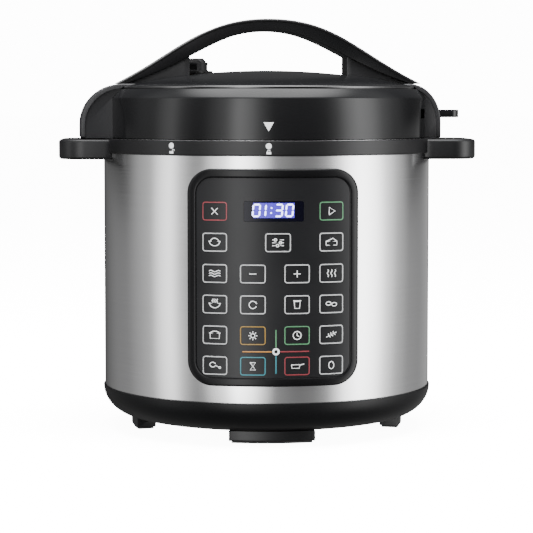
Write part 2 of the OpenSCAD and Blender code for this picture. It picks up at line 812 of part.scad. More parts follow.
module lid_cover() {
    color("#0f0f11") in_lid() difference() {
        union() {
            difference() {
                rotate_extrude() cover_outline(0);
                rotate_extrude() cover_outline(mould_wall);
            }
            // bosses that the lid plate hangs on
            for (a = [0 : 90 : 270]) rotate([0, 0, a]) translate([boss_r, 0, boss_z])
                cylinder(r = 4.5, h = dome_at(boss_r) - boss_z - 1);
            // seat for the lever's pin
            translate([pivot_at[0], pivot_at[1], lever_z + lever_t + 12])
                cylinder(r = 5, h = dome_at(pivot_at[0]) - lever_z - lever_t - 13);
        }
        ring(lip_r, lip_r + groove_w, groove_z, groove_z + 10);
        for (a = [0 : 90 : 270]) rotate([0, 0, a]) translate([boss_r, 0, boss_z - 1])
            cylinder(r = 1.7, h = 12);
        translate([vent_at[0], vent_at[1], lid_z]) cylinder(r = vent_r + 3.2, h = big);
        translate([float_at[0], float_at[1], lid_z]) cylinder(r = float_head_r + run_gap, h = big);
        translate([pivot_at[0], pivot_at[1], lever_z]) cylinder(r = pin_r, h = lever_t + 12 + 6);
        // slot that the lever passes through
        sector(cover_in_r - 5, cover_r + 5, lever_z - 0.5, lever_z + lever_t + 0.5, -8, 29);
        for (x = [-88, 88], y = [-8, 8]) translate([x, y, dome_at(88) - 8]) cylinder(r = 1.7, h = 20);
    }
}

boss_r = 78;
boss_z = plate_top_z + lid_plate_t;
float_head_r = float_r + 3;
pin_r = 2.5;

module lid_plate() {
    t = lid_plate_t;
    shoulder = pot_in_r - 14;
    color("#c8cacc") in_lid() difference() {
        union() {
            rotate_extrude() polygon([
                [0, plate_top_z], [shoulder, plate_top_z],
                [shoulder + 8, plate_rim_z], [skirt_in_r, plate_rim_z],
                [skirt_in_r, plate_skirt_z], [skirt_out_r, plate_skirt_z],
                [skirt_out_r, plate_rim_z + t], [shoulder + 9, plate_rim_z + t],
                [shoulder + 1, plate_top_z + t], [0, plate_top_z + t]]);
            for (k = [0 : lug_count - 1])
                sector(lug_in_r, skirt_in_r + 0.5, lug_z, lug_z + lug_t,
                    first_lug - lid_yaw + k * 360 / lug_count, lug_arc);
        }
        translate([vent_at[0], vent_at[1], plate_top_z - 1]) cylinder(r = vent_r + 0.02, h = 5);
        translate([float_at[0], float_at[1], plate_top_z - 1]) cylinder(r = float_r + 2.6, h = 5);
        for (a = [0 : 90 : 270]) rotate([0, 0, a]) translate([boss_r, 0, plate_top_z - 1])
            cylinder(r = 2.1, h = 5);
    }
}

rack_r = pot_in_r - 0.6;
rack_wire = 1.1;
rack_z = rim_z + 5.9;

module ring_rack() {
    color("#b7b9bb") in_lid() {
        rotate_extrude() translate([rack_r - rack_wire, rack_z - rack_wire])
            square([2 * rack_wire, 2 * rack_wire]);
        for (a = [0 : 60 : 300]) rotate([0, 0, a])
            block([rack_r - 0.8, rack_r + 0.8], [-3, 3], [rack_z, plate_rim_z]);
    }
}

module lid_screws() {
    color("#a5a7aa") in_lid() for (a = [0 : 90 : 270]) rotate([0, 0, a])
        translate([boss_r, 0, plate_top_z]) screw(4, 2, 1.65, 10);
}

// side wings that carry the handle's ends down over the lid's wall
module ear_outline(reach, start, drop, inset) {
    low = lid_z + 0.1;
    steps = 12;
    polygon(concat(
        [for (k = [0 : steps]) let (t = 90 * k / steps)
            [start + (reach - start - inset) * sin(t), low + drop + (ear_top - low - drop - inset) * cos(t)]],
        [[reach - inset, low - (inset > 0 ? 1 : 0)], [lip_r - 20, low - (inset > 0 ? 1 : 0)],
         [lip_r - 20, ear_top - inset]]));
}

ear_top = lip_z + 2.2;
ear_wall = 3;

module ear(reach, start, drop) {
    difference() {
        side_slab(ear_half) ear_outline(reach, start, drop, 0);
        // hollow from below
        intersection() {
            side_slab(ear_half - ear_wall) ear_outline(reach, start, drop, ear_wall);
            difference() {
                cylinder(r = big, h = wall_top - 4);
                cylinder(r = cover_r + 1.5, h = big);
            }
        }
        // shallow panel in the front and back faces, inside a raised rim
        for (s = [-1, 1]) translate([0, s * (ear_half + 4), 0])
            side_slab(5.5) ear_outline(reach, start, drop, 3.8);
        rotate_extrude() cover_outline(-0.05);
        cylinder(r = lip_r + 0.1, h = wall_top);
    }
}

module left_ear() {
    color("#131315") in_lid() mirror([1, 0, 0]) ear(left_reach, cover_r - 11, 10.6);
}

module right_ear() {
    color("#131315") in_lid() difference() {
        ear(right_reach, cover_r - 15, 12.6);
        block([cover_r - 10, right_reach + 5], [-21, 10], [lever_z - 0.5, lever_z + lever_t + 0.5]);
    }
}

// upper and lower edges of the carrying handle, from its middle to one end
function handle_upper(t) = bezier([
    [0, handle_z], [56, handle_z], [74, handle_z - 28], [handle_span, handle_end_z]], t);
function handle_lower(t) = bezier([
    [0, handle_z - 9.8], [42, handle_z - 9.8], [60, handle_z - 35],
    [handle_span - 7.5, handle_end_z - 0.5]], t);
handle_steps = 14;

// point k of an edge, counted from the middle, with the left half mirrored
function edge_point(edge, k) = let (p = edge(abs(k) / handle_steps)) [sign(k) * p[0], p[1]];

module handle_band(upper, lower) {
    polygon(concat(
        [for (k = [-handle_steps : handle_steps]) edge_point(upper, k)],
        [for (k = [handle_steps : -1 : -handle_steps]) edge_point(lower, k)]));
}

module both_ends() {
    children();
    mirror([1, 0]) children();
}

// plan of the handle, a little wider towards its ends
module handle_plan(inset) {
    half = handle_depth / 2 - inset;
    translate([0, 0, dome_z - 30]) linear_extrude(big) polygon([
        [-handle_span - 1, -half - 4], [-70, -half - 0.5], [0, -half], [70, -half - 0.5],
        [handle_span + 1, -half - 4], [handle_span + 1, half + 4], [70, half + 0.5],
        [0, half], [-70, half + 0.5], [-handle_span - 1, half + 4]]);
}

module handle_body() {
    under_cap = function (t) handle_upper(t) - [0, cap_t + 0.05];
    underside = function (t) handle_lower(t);
    color("#151517") in_lid() difference() {
        union() {
            intersection() {
                side_slab(60) handle_band(under_cap, underside);
                handle_plan(0.6);
            }
            // webs that stand on the lid
            intersection() {
                side_slab(web_half) both_ends() polygon([
                    [web_x, dome_at(web_x) - 12], [web_x, handle_lower(0.62)[1] + 2],
                    handle_lower(0.72) + [0, 1], handle_lower(0.85) + [0, 1],
                    handle_lower(0.97) + [0, 0.3], [handle_span - 14, handle_end_z - 20]]);
                handle_plan(0);
            }
        }
        rotate_extrude() cover_outline(-0.05);
        in_ear_space();
        for (x = [-88, 88], y = [-8, 8]) translate([x, y, dome_at(88) - 1]) cylinder(r = 1.6, h = 11);
    }
}

// the handle stops where the ears' tops begin
module in_ear_space() {
    for (s = [-1, 1]) mirror([s < 0 ? 1 : 0, 0, 0])
        block([lip_r - 20.2, big], [-ear_half - 5, ear_half + 5], [0, ear_top + 0.05]);
}

module handle_cap() {
    top_face = function (t) handle_upper(t);
    lower_face = function (t) handle_upper(t) - [0, cap_t];
    color("#1a1a1c") in_lid() difference() {
        intersection() {
            side_slab(60) handle_band(top_face, lower_face);
            handle_plan(0);
        }
        in_ear_space();
        rotate_extrude() cover_outline(-0.05);
    }
}

module handle_screws() {
    color("#a5a7aa") in_lid() for (x = [-88, 88], y = [-8, 8])
        translate([x, y, dome_at(88) - mould_wall - 0.6]) screw(3.5, 1.8, 1.55, 11);
}

// ==== steam valve ====

pipe_low = plate_top_z - 6;
pipe_top = dome_at(norm(vent_at)) + 6;
valve_low = dome_at(norm(vent_at) - cap_r - 4) + run_gap;

module at(place, z) {
    translate([place[0], place[1], z]) children();
}

module vent_pipe() {
    color("#b3a37a") in_lid() difference() {
        union() {
            at(vent_at, pipe_low) cylinder(r = vent_r, h = pipe_top - pipe_low - 2);
            at(vent_at, pipe_top - 2) cylinder(r1 = vent_r, r2 = vent_r - 1.5, h = 2);
            at(vent_at, plate_top_z - 1.6) cylinder(r = vent_r + 3, h = 1.5);
        }
        at(vent_at, pipe_low - 1) cylinder(r = 1.5, h = pipe_top - pipe_low + 2);
    }
}

module vent_nut() {
    color("#b7b9bb") in_lid() difference() {
        at(vent_at, plate_top_z + lid_plate_t + 0.02) cylinder(r = vent_r + 3.5, h = 5, $fn = 6);
        at(vent_at, plate_top_z) cylinder(r = vent_r + 0.02, h = 10);
    }
}

module vent_shield() {
    low = plate_top_z - 12;
    color("#c9cbcd") in_lid() difference() {
        at(vent_at, low) cylinder(r = 9, h = 10.2);
        at(vent_at, low + 1) cylinder(r = 8, h = 12);
        for (a = [0 : 45 : 315]) at(vent_at, low + 5) rotate([0, 0, a])
            translate([9, 0, 0]) cube([6, 2, 5], center = true);
    }
}

module steam_weight() {
    color("#9b9da0") in_lid() difference() {
        at(vent_at, valve_low) cylinder(r = vent_r + 5, h = 10);
        at(vent_at, valve_low - 1) cylinder(r = vent_r + 0.4, h = pipe_top - valve_low + 1.3);
    }
}

module steam_cap() {
    seat = vent_r + 5 + pin_gap;
    color("#141416") in_lid() difference() {
        union() {
            at(vent_at, valve_low + 0.4) cylinder(r = cap_r + 4, h = 2.6);
            at(vent_at, valve_low + 2.9) cylinder(r = cap_r, h = 8);
            at(vent_at, valve_low + 10.8) cylinder(r1 = cap_r, r2 = cap_r - 3, h = 2.8);
        }
        at(vent_at, valve_low - 1) cylinder(r = seat, h = 11 + pin_gap);
        // finger hollows on both sides of a bar, and steam vents under them
        for (a = [45, 225]) at(vent_at, valve_low + 11.9) rotate([0, 0, a])
            translate([cap_r + 3.5, 0, 0]) cube([2 * cap_r, 3 * cap_r, 3.6], center = true);
        for (a = [0 : 90 : 270]) at(vent_at, valve_low + 6) rotate([0, 0, a])
            translate([cap_r, 0, 0]) cube([5, 9, 4], center = true);
    }
}

// ==== float valve and interlock ====

float_top = dome_at(norm(float_at)) - float_rise - 1;
float_low = plate_top_z - float_rise - 5;

module float_seat() {
    color("#d9d6cf") in_lid() difference() {
        union() {
            at(float_at, plate_top_z - 1.5) cylinder(r = float_r + 5, h = 1.4);
            at(float_at, plate_top_z - 1) cylinder(r = float_r + 2.5, h = lid_plate_t + 3);
        }
        at(float_at, plate_top_z - 3) cylinder(r = float_r + pin_gap, h = 10);
    }
}

module float_pin() {
    color("#b03028") in_lid() {
        at(float_at, float_low) cylinder(r = float_r, h = float_top - float_low);
        at(float_at, float_top - 3) cylinder(r = float_head_r, h = 3);
        at(float_at, float_low - 1.2) cylinder(r = float_r + 1, h = 1.2);
    }
}

module float_gasket() {
    color([0.9, 0.9, 0.86]) in_lid() difference() {
        at(float_at, float_low + 0.1) cylinder(r = float_r + 3, h = 2.5);
        at(float_at, float_low - 1) cylinder(r = float_r + 0.02, h = 6);
    }
}

slider_y = [float_at[1] + float_r + 1.5, sqrt(pow(cover_in_r, 2) - pow(float_at[0] - slider_w / 2, 2)) - slider_travel - 1.5];

module interlock_guide() {
    half = slider_w / 2;
    color("#a8aaad") in_lid() for (y = [slider_y[0] + 8, slider_y[1] - 16])
        translate([float_at[0], y, 0]) difference() {
            block([-half - 3, half + 3], [-3, 3], [boss_z + 0.02, slider_z + slider_t + 2]);
            block([-half - 0.2, half + 0.2], [-4, 4], [slider_z - 0.2, slider_z + slider_t + 0.2]);
        }
}

spring_y = slider_y[0] + 11.1;       // starts at the first guide's face
spring_len = 15;

module interlock_slider() {
    half = slider_w / 2;
    color("#c0c2c4") in_lid() translate([float_at[0], 0, 0]) difference() {
        union() {
            block([-half, half], slider_y, [slider_z, slider_z + slider_t]);
            block([-half, half], [spring_y + spring_len, spring_y + spring_len + 1.5],
                [slider_z, slider_z + slider_t + 5]);
        }
        // hollow nose that slips round the float
        translate([0, slider_y[0] - 1, slider_z - 1]) cylinder(r = float_r + 0.8, h = 5);
    }
}

module interlock_spring() {
    wire = 0.4;
    color("#8e9093") in_lid() translate([float_at[0], spring_y + wire, slider_z + slider_t + 2.6])
        rotate([-90, 0, 0]) coil(1.9, wire, 7, spring_len - 2 * wire - 0.1);
}

// ==== release lever ====

module lever_pin() {
    color("#b7b9bb") in_lid() at(pivot_at, lever_z - 1) cylinder(r = pin_r, h = lever_t + 1 + 12 + 5);
}

module lever_spring() {
    wire = 0.5;
    color("#8e9093") in_lid() at(pivot_at, lever_z + lever_t + wire + 0.6)
        coil(pin_r + 1.6, wire, 5, 9);
}

module release_lever() {
    hub = pin_r + 4;
    arm = lever_reach - pivot_at[0];
    color("#0d0d0f") in_lid() at(pivot_at, lever_z) difference() {
        union() {
            cylinder(r = hub, h = lever_t);
            linear_extrude(lever_t) {
                translate([0, -lever_w / 2]) square([arm - lever_w / 2, lever_w]);
                translate([arm - lever_w / 2, 0]) circle(r = lever_w / 2);
            }
            // short inner arm that pushes the valve's link
            block([-16, 0], [-4, 4], [0, lever_t - 2]);
        }
        translate([0, 0, -1]) cylinder(r = pin_r + pin_gap, h = lever_t + 2);
    }
}

// ==== the assembly ====

base_cover();
feet();
foot_pads();
base_screws();
chassis_plate();
standoffs();
outer_shell();
top_collar();
collar_screws();
liner_pot();
thermal_fuse();
spring_dish();
heating_plate();
heating_element();
pressure_switch();
sensor_sleeve();
panel_bezel();
panel_overlay();
display_window();
display_module();
control_board();
board_components();
board_screws();
power_board();
power_components();
inlet_socket();
inlet_pins();
inner_wiring();
drip_spout();
cup_bracket();
drip_cup();
inner_pot();
sensor_cap();
sensor_spring();
sealing_ring();
lid_cover();
lid_plate();
ring_rack();
left_ear();
right_ear();
handle_body();
handle_cap();
lid_screws();
handle_screws();
vent_pipe();
vent_nut();
vent_shield();
float_seat();
lever_pin();
lever_spring();
interlock_guide();
steam_weight();
steam_cap();
float_pin();
float_gasket();
release_lever();
interlock_slider();
interlock_spring();
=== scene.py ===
# %% [markdown]
# # Electric pressure cooker
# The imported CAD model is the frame: it gives every size and every moving body. This
# lesson dresses it, piece by piece, with smooth shells, small details and finishes
# worked out in shader nodes. Lengths in the code are in millimetres until a mesh is
# made, because the maker's drawings are in millimetres.

import json
from math import cos, pi, radians, sin, sqrt

import bmesh
import bpy
from mathutils import Matrix, Vector


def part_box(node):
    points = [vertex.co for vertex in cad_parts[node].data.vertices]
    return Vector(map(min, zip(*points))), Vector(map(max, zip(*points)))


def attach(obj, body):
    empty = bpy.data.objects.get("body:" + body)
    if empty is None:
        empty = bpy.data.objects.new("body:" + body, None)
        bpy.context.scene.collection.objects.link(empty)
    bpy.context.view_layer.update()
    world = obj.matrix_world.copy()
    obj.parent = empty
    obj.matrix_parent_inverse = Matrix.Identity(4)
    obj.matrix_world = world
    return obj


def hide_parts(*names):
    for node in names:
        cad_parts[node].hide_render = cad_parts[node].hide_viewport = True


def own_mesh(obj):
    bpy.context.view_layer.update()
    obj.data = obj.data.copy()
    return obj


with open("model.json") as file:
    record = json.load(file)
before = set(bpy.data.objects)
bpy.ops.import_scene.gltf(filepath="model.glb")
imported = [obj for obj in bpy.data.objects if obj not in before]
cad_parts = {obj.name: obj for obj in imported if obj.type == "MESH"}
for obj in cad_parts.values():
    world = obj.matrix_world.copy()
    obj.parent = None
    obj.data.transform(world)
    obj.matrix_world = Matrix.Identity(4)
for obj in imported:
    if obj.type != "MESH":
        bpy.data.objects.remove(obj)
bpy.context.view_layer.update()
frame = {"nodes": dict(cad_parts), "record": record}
MM = 0.001


def box_mm(node):
    """Lowest and highest corner of a CAD node, in millimetres."""
    low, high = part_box(node)
    return low / MM, high / MM


# %% [markdown]
# ## Sizes taken from the frame
# Everything sits on radii and levels of the drum. They are read from the CAD nodes'
# boxes, so a piece made here lands where the CAD piece is.

# %% Main radii and levels
shell_low, shell_high = box_mm("outer_shell")
SHELL_R = shell_high.x
SHELL_TOP = shell_high.z
SEAM_Z = shell_low.z + 2
BASE_Z = box_mm("base_cover")[0].z
BASE_R = box_mm("base_cover")[1].x
COLLAR_R = box_mm("top_collar")[1].y
COLLAR_Z = box_mm("top_collar")[1].z
GRIP_END = box_mm("top_collar")[1].x
lid_low, lid_high = box_mm("lid_cover")
COVER_R = lid_high.y
LID_Z = lid_low.z
DOME_Z = lid_high.z
HANDLE_Z = box_mm("handle_cap")[1].z
PANEL_LOW, PANEL_HIGH = (c.z for c in box_mm("panel_bezel"))
PANEL_W = 2 * box_mm("panel_bezel")[1].x
PANEL_MID = (PANEL_LOW + PANEL_HIGH) / 2
PANEL_H = PANEL_HIGH - PANEL_LOW
PANEL_R = -box_mm("panel_bezel")[0].y
DISPLAY_Z = sum(c.z for c in box_mm("display_window")) / 2
WALL_H = 33
WALL_TOP = LID_Z + WALL_H
DOME_RISE = 13.2
LIP_R = COVER_R - 8.3
LIP_Z = DOME_Z - DOME_RISE
DOME_BALL = (LIP_R ** 2 + DOME_RISE ** 2) / (2 * DOME_RISE)
# the lid, as it stands when shut, is turned this far from the drum's front, in degrees
LID_YAW = 3.6
print("drum radius", round(SHELL_R, 2), "lid radius", round(COVER_R, 2))


def dome_at(r):
    """Height of the lid's dome at a radius."""
    return DOME_Z - DOME_BALL + sqrt(DOME_BALL ** 2 - r * r)


# %% [markdown]
# ## Mesh helpers
# Most pieces here are turned, pressed or extruded, so a few helpers cover them: one
# turns an outline about Z, one draws an outline out into a slab, one rounds the
# corners of an outline, and one cuts or joins solids with an exact Boolean.

# %% Outlines
def rounded(points, radius, steps=4):
    """A closed outline with every corner rounded; radius is one number or one for each corner."""
    count = len(points)
    radii = radius if isinstance(radius, (list, tuple)) else [radius] * count
    made = []
    for i, corner in enumerate(points):
        here = Vector(corner)
        before = Vector(points[i - 1]) - here
        after = Vector(points[(i + 1) % count]) - here
        reach = min(radii[i], 0.49 * before.length, 0.49 * after.length)
        if reach < 1e-4:
            made.append(tuple(here))
            continue
        a, b = before.normalized(), after.normalized()
        turn = a.angle(b)
        if turn > pi - 0.05:
            made.append(tuple(here))
            continue
        tangent = min(reach / max(sin(turn / 2), 0.2) * cos(turn / 2), 0.49 * before.length,
                      0.49 * after.length)
        start, end = here + a * tangent, here + b * tangent
        for k in range(steps + 1):
            t = k / steps
            made.append(tuple(start * (1 - t) ** 2 + here * 2 * t * (1 - t) + end * t * t))
    return made


def rounded_box(width, height, radius, middle=(0, 0), steps=6):
    """A rounded rectangle, counted anticlockwise."""
    w, h = width / 2, height / 2
    corners = [(-w, -h), (w, -h), (w, h), (-w, h)]
    made = []
    for (x, y), start in zip(corners, (180, 270, 0, 90)):
        cx, cy = x - radius * (1 if x > 0 else -1), y - radius * (1 if y > 0 else -1)
        for k in range(steps + 1):
            a = radians(start + 90 * k / steps)
            made.append((middle[0] + cx + radius * cos(a), middle[1] + cy + radius * sin(a)))
    return made


# %% Solids
def new_object(name, data):
    made = bpy.data.objects.new(name, data)
    bpy.context.scene.collection.objects.link(made)
    return made


def from_bmesh(name, bm):
    """Merges doubles, turns every face outwards and makes an object."""
    bmesh.ops.remove_doubles(bm, verts=bm.verts, dist=1e-7)
    bmesh.ops.recalc_face_normals(bm, faces=bm.faces)
    mesh = bpy.data.meshes.new(name)
    bm.to_mesh(mesh)
    bm.free()
    return new_object(name, mesh)


def turned(name, outline, steps=192, start=0, arc=360):
    """A closed outline of (radius, height) turned about Z."""
    bm = bmesh.new()
    full = arc >= 360
    stations = steps if full else steps + 1
    columns = []
    for k in range(stations):
        a = radians(start + arc * k / steps)
        columns.append([bm.verts.new((r * MM * cos(a), r * MM * sin(a), z * MM))
                        for r, z in outline])
    count = len(outline)
    for k in range(steps):
        here, there = columns[k], columns[(k + 1) % stations]
        for i in range(count):
            j = (i + 1) % count
            if outline[i][0] < 1e-6 and outline[j][0] < 1e-6:
                continue
            bm.faces.new((here[i], here[j], there[j], there[i]))
    if not full:
        bm.faces.new(columns[0])
        bm.faces.new(list(reversed(columns[-1])))
    bmesh.ops.remove_doubles(bm, verts=bm.verts, dist=1e-7)
    bmesh.ops.dissolve_degenerate(bm, edges=bm.edges, dist=1e-8)
    return from_bmesh(name, bm)


def slab(name, outline, low, high, turn=None):
    """A flat outline in X and Y drawn out along Z, then turned by a matrix."""
    bm = bmesh.new()
    rings = [[bm.verts.new((x * MM, y * MM, z * MM)) for x, y in outline] for z in (low, high)]
    count = len(outline)
    for i in range(count):
        j = (i + 1) % count
        bm.faces.new((rings[0][i], rings[0][j], rings[1][j], rings[1][i]))
    bm.faces.new(list(reversed(rings[0])))
    bm.faces.new(rings[1])
    if turn is not None:
        bmesh.ops.transform(bm, matrix=turn, verts=bm.verts)
    return from_bmesh(name, bm)


# X stays, the outline's Y becomes height and the slab runs along Y
UPRIGHT = Matrix(((1, 0, 0), (0, 0, -1), (0, 1, 0))).to_4x4()


def block(name, x, y, z):
    """A box; x, y and z are pairs of lowest and highest."""
    return slab(name, [(x[0], y[0]), (x[1], y[0]), (x[1], y[1]), (x[0], y[1])], *z)


def settle(obj):
    """Makes the object's modifiers part of its mesh."""
    graph = bpy.context.evaluated_depsgraph_get()
    mesh = bpy.data.meshes.new_from_object(obj.evaluated_get(graph))
    obj.modifiers.clear()
    obj.data = mesh
    mesh.name = obj.name
    return obj


def soften(obj, width, segments=3, angle=35):
    """Rounds the sharp edges."""
    bevel = obj.modifiers.new("edges", "BEVEL")
    bevel.width = width * MM
    bevel.segments = segments
    bevel.limit_method = "ANGLE"
    bevel.angle_limit = radians(angle)
    bevel.miter_outer = "MITER_ARC"
    return settle(obj)


def carve(obj, *others, way="DIFFERENCE"):
    """Cuts the others away from the object, or joins them on, and removes them."""
    for other in others:
        step = obj.modifiers.new("carve", "BOOLEAN")
        step.operation = way
        step.solver = "EXACT"
        step.object = other
        settle(obj)
        bpy.data.objects.remove(other)
    return obj


def joined(name, *parts):
    """One object that holds the meshes of several."""
    bm = bmesh.new()
    for part in parts:
        bm.from_mesh(part.data)
        bpy.data.objects.remove(part)
    mesh = bpy.data.meshes.new(name)
    bm.to_mesh(mesh)
    bm.free()
    return new_object(name, mesh)


def with_lid(obj):
    """Turns the mesh about Z by the lid's yaw, because the lid's pieces are drawn square to it."""
    obj.data.transform(Matrix.Rotation(radians(LID_YAW), 4, "Z"))
    return obj


def mirrored(obj, name, keep=False):
    """A copy mirrored in X, with its faces turned outwards again; the object goes unless kept."""
    bm = bmesh.new()
    bm.from_mesh(obj.data)
    bmesh.ops.scale(bm, vec=(-1, 1, 1), verts=bm.verts)
    bmesh.ops.reverse_faces(bm, faces=bm.faces)
    if not keep:
        bpy.data.objects.remove(obj)
    return from_bmesh(name, bm)


BODY_OF = {n: b for b, nodes in frame["record"]["behaviour"]["bodies"].items() for n in nodes}


def fit_out(obj, finish, body, stands_for=(), sharp=34):
    """Gives a piece its finish and its shading, hangs it on its body and hides the CAD nodes that it stands
    for.
    """
    obj.data.materials.clear()
    obj.data.materials.append(finish)
    obj.data.shade_smooth()
    obj.data.set_sharp_from_angle(angle=radians(sharp))
    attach(obj, body)
    if stands_for:
        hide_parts(*stands_for)
    return obj


def dressed(node, finish, edge=0.0, sharp=34):
    """A clean copy of a CAD node, with its doubles merged and its edges broken, in its place."""
    bm = bmesh.new()
    bm.from_mesh(frame["nodes"][node].data)
    bmesh.ops.remove_doubles(bm, verts=bm.verts, dist=2e-6)
    bmesh.ops.dissolve_limit(bm, angle_limit=radians(0.6), verts=bm.verts, edges=bm.edges)
    copy = from_bmesh(node + "_skin", bm)
    if edge:
        soften(copy, edge, 2)
    return fit_out(copy, finish, BODY_OF[node], [node], sharp)


# %% [markdown]
# ## Finishes
# Each finish is a small node tree that reads Object coordinates, so its grain stays put
# on the piece. Numbers that don't vary sit on the shader's own sockets. Moulded plastic
# gets a fine spark-eroded grain and a slow change of gloss; brushed steel gets streaks
# that run round the drum, made by noise squeezed along Z.

# %% Node tools
def finish_tree(name, color, roughness, metallic=0.0, coat=0.0, specular=0.5):
    """A material with the constants on its shader; gives the material, its tree and its shader."""
    made = bpy.data.materials.new(name)
    made.use_nodes = True
    tree = made.node_tree
    shader = tree.nodes["Principled BSDF"]
    shader.inputs["Base Color"].default_value = (*color, 1)
    shader.inputs["Roughness"].default_value = roughness
    shader.inputs["Metallic"].default_value = metallic
    shader.inputs["Coat Weight"].default_value = coat
    shader.inputs["Coat Roughness"].default_value = 0.08
    shader.inputs["Specular IOR Level"].default_value = specular
    return made, tree, shader


def streaks(tree, stretch, detail=3.0, rough=0.6):
    """Noise on Object coordinates, scaled by stretch along X, Y and Z."""
    place = tree.nodes.new("ShaderNodeTexCoord")
    scale = tree.nodes.new("ShaderNodeMapping")
    scale.inputs["Scale"].default_value = stretch
    noise = tree.nodes.new("ShaderNodeTexNoise")
    noise.inputs["Scale"].default_value = 1.0
    noise.inputs["Detail"].default_value = detail
    noise.inputs["Roughness"].default_value = rough
    tree.links.new(place.outputs["Object"], scale.inputs["Vector"])
    tree.links.new(scale.outputs["Vector"], noise.inputs["Vector"])
    return noise.outputs["Fac"]


def spread(tree, value, low, high):
    """Maps a 0 to 1 value to a range."""
    node = tree.nodes.new("ShaderNodeMapRange")
    node.inputs["From Min"].default_value = 0.25
    node.inputs["From Max"].default_value = 0.75
    node.inputs["To Min"].default_value = low
    node.inputs["To Max"].default_value = high
    tree.links.new(value, node.inputs["Value"])
    return node.outputs["Result"]


def tinted(tree, value, dark, light):
    """A colour between two, by a 0 to 1 value."""
    node = tree.nodes.new("ShaderNodeValToRGB")
    node.color_ramp.elements[0].position = 0.3
    node.color_ramp.elements[1].position = 0.7
    node.color_ramp.elements[0].color = (*dark, 1)
    node.color_ramp.elements[1].color = (*light, 1)
    tree.links.new(value, node.inputs["Fac"])
    return node.outputs["Color"]


def relief(tree, shader, value, strength, depth):
    """Bumps on the surface from a 0 to 1 value; depth is in millimetres."""
    node = tree.nodes.new("ShaderNodeBump")
    node.inputs["Strength"].default_value = strength
    node.inputs["Distance"].default_value = depth * MM
    tree.links.new(value, node.inputs["Height"])
    tree.links.new(node.outputs["Normal"], shader.inputs["Normal"])


def shade_of(color, share):
    return tuple(c * share for c in color)


# %% Plastic, rubber and paint
def moulded(name, color, roughness, grain, depth, coat=0.0, specular=0.5):
    """Moulded plastic: a fine grain and a slow change of gloss over the piece."""
    made, tree, shader = finish_tree(name, color, roughness, coat=coat, specular=specular)
    slow = streaks(tree, (14, 14, 14), detail=4)
    tree.links.new(spread(tree, slow, roughness * 0.86, roughness * 1.16), shader.inputs["Roughness"])
    tree.links.new(tinted(tree, slow, shade_of(color, 0.88), shade_of(color, 1.1)),
                   shader.inputs["Base Color"])
    relief(tree, shader, streaks(tree, (grain,) * 3, detail=2), 0.25, depth)
    return made


gloss_black = moulded("gloss_black", (0.0045, 0.0046, 0.005), 0.17, 500, 0.004, coat=0.06, specular=0.26)
lip_polish = moulded("lip_polish", (0.006, 0.006, 0.0065), 0.16, 500, 0.002, coat=1.0, specular=1.0)
satin_black = moulded("satin_black", (0.005, 0.005, 0.0055), 0.34, 1100, 0.02, specular=0.3)
base_black = moulded("base_black", (0.0035, 0.0035, 0.004), 0.36, 1100, 0.02, specular=0.17)
handle_black = moulded("handle_black", (0.0022, 0.0022, 0.0026), 0.24, 800, 0.008, specular=0.35)
wing_grey = moulded("wing_grey", (0.0135, 0.0135, 0.0145), 0.4, 1000, 0.02, specular=0.3)
foot_rubber = moulded("foot_rubber", (0.012, 0.012, 0.013), 0.72, 700, 0.05)
frame_gloss = moulded("frame_gloss", (0.0032, 0.0032, 0.0036), 0.24, 500, 0.004, specular=0.18)
panel_face = moulded("panel_face", (0.0085, 0.0086, 0.0094), 0.32, 700, 0.004, coat=0.03, specular=0.2)
glass_dark = moulded("glass_dark", (0.002, 0.002, 0.006), 0.12, 60, 0.001, specular=0.15)
red_cap = moulded("red_cap", (0.45, 0.03, 0.02), 0.4, 700, 0.02)
ceramic = moulded("ceramic", (0.72, 0.69, 0.62), 0.55, 500, 0.04)
tan_board = moulded("tan_board", (0.42, 0.25, 0.09), 0.55, 260, 0.05)
lead_skin = moulded("lead_skin", (0.28, 0.05, 0.04), 0.45, 600, 0.02)
part_mix = moulded("part_mix", (0.05, 0.05, 0.055), 0.4, 500, 0.02)

# %% Metals
def metal(name, color, roughness, stretch, depth, strength=0.2, anisotropic=0.0):
    """A metal whose streaks run the way that stretch is small."""
    made, tree, shader = finish_tree(name, color, roughness, metallic=1.0)
    fine = streaks(tree, stretch, detail=4, rough=0.65)
    tree.links.new(spread(tree, fine, roughness * 0.82, roughness * 1.25), shader.inputs["Roughness"])
    tree.links.new(tinted(tree, fine, shade_of(color, 0.93), color), shader.inputs["Base Color"])
    relief(tree, shader, fine, strength, depth)
    if anisotropic:
        shader.inputs["Anisotropic"].default_value = anisotropic
        shader.inputs["Anisotropic Rotation"].default_value = 0.25
        tangent = tree.nodes.new("ShaderNodeTangent")
        tangent.direction_type = "RADIAL"
        tangent.axis = "Z"
        tree.links.new(tangent.outputs["Tangent"], shader.inputs["Tangent"])
    return made


brushed_drum = metal("brushed_drum", (0.80, 0.80, 0.805), 0.2, (6, 6, 2600), 0.004, 0.12, 0.75)
pot_steel = metal("pot_steel", (0.74, 0.74, 0.75), 0.22, (10, 10, 1800), 0.004, 0.12, 0.6)
pressed_steel = metal("pressed_steel", (0.66, 0.66, 0.67), 0.28, (300, 300, 300), 0.008)
zinc_sheet = metal("zinc_sheet", (0.55, 0.56, 0.57), 0.42, (60, 60, 60), 0.01)
screw_zinc = metal("screw_zinc", (0.6, 0.61, 0.63), 0.33, (900, 900, 900), 0.01)
dull_aluminium = metal("dull_aluminium", (0.68, 0.68, 0.69), 0.38, (260, 260, 260), 0.012)
spring_steel = metal("spring_steel", (0.5, 0.5, 0.51), 0.3, (500, 500, 500), 0.008)
cast_plate = metal("cast_plate", (0.62, 0.62, 0.63), 0.4, (40, 40, 400), 0.02)
element_steel = metal("element_steel", (0.2, 0.19, 0.18), 0.5, (200, 200, 200), 0.02)
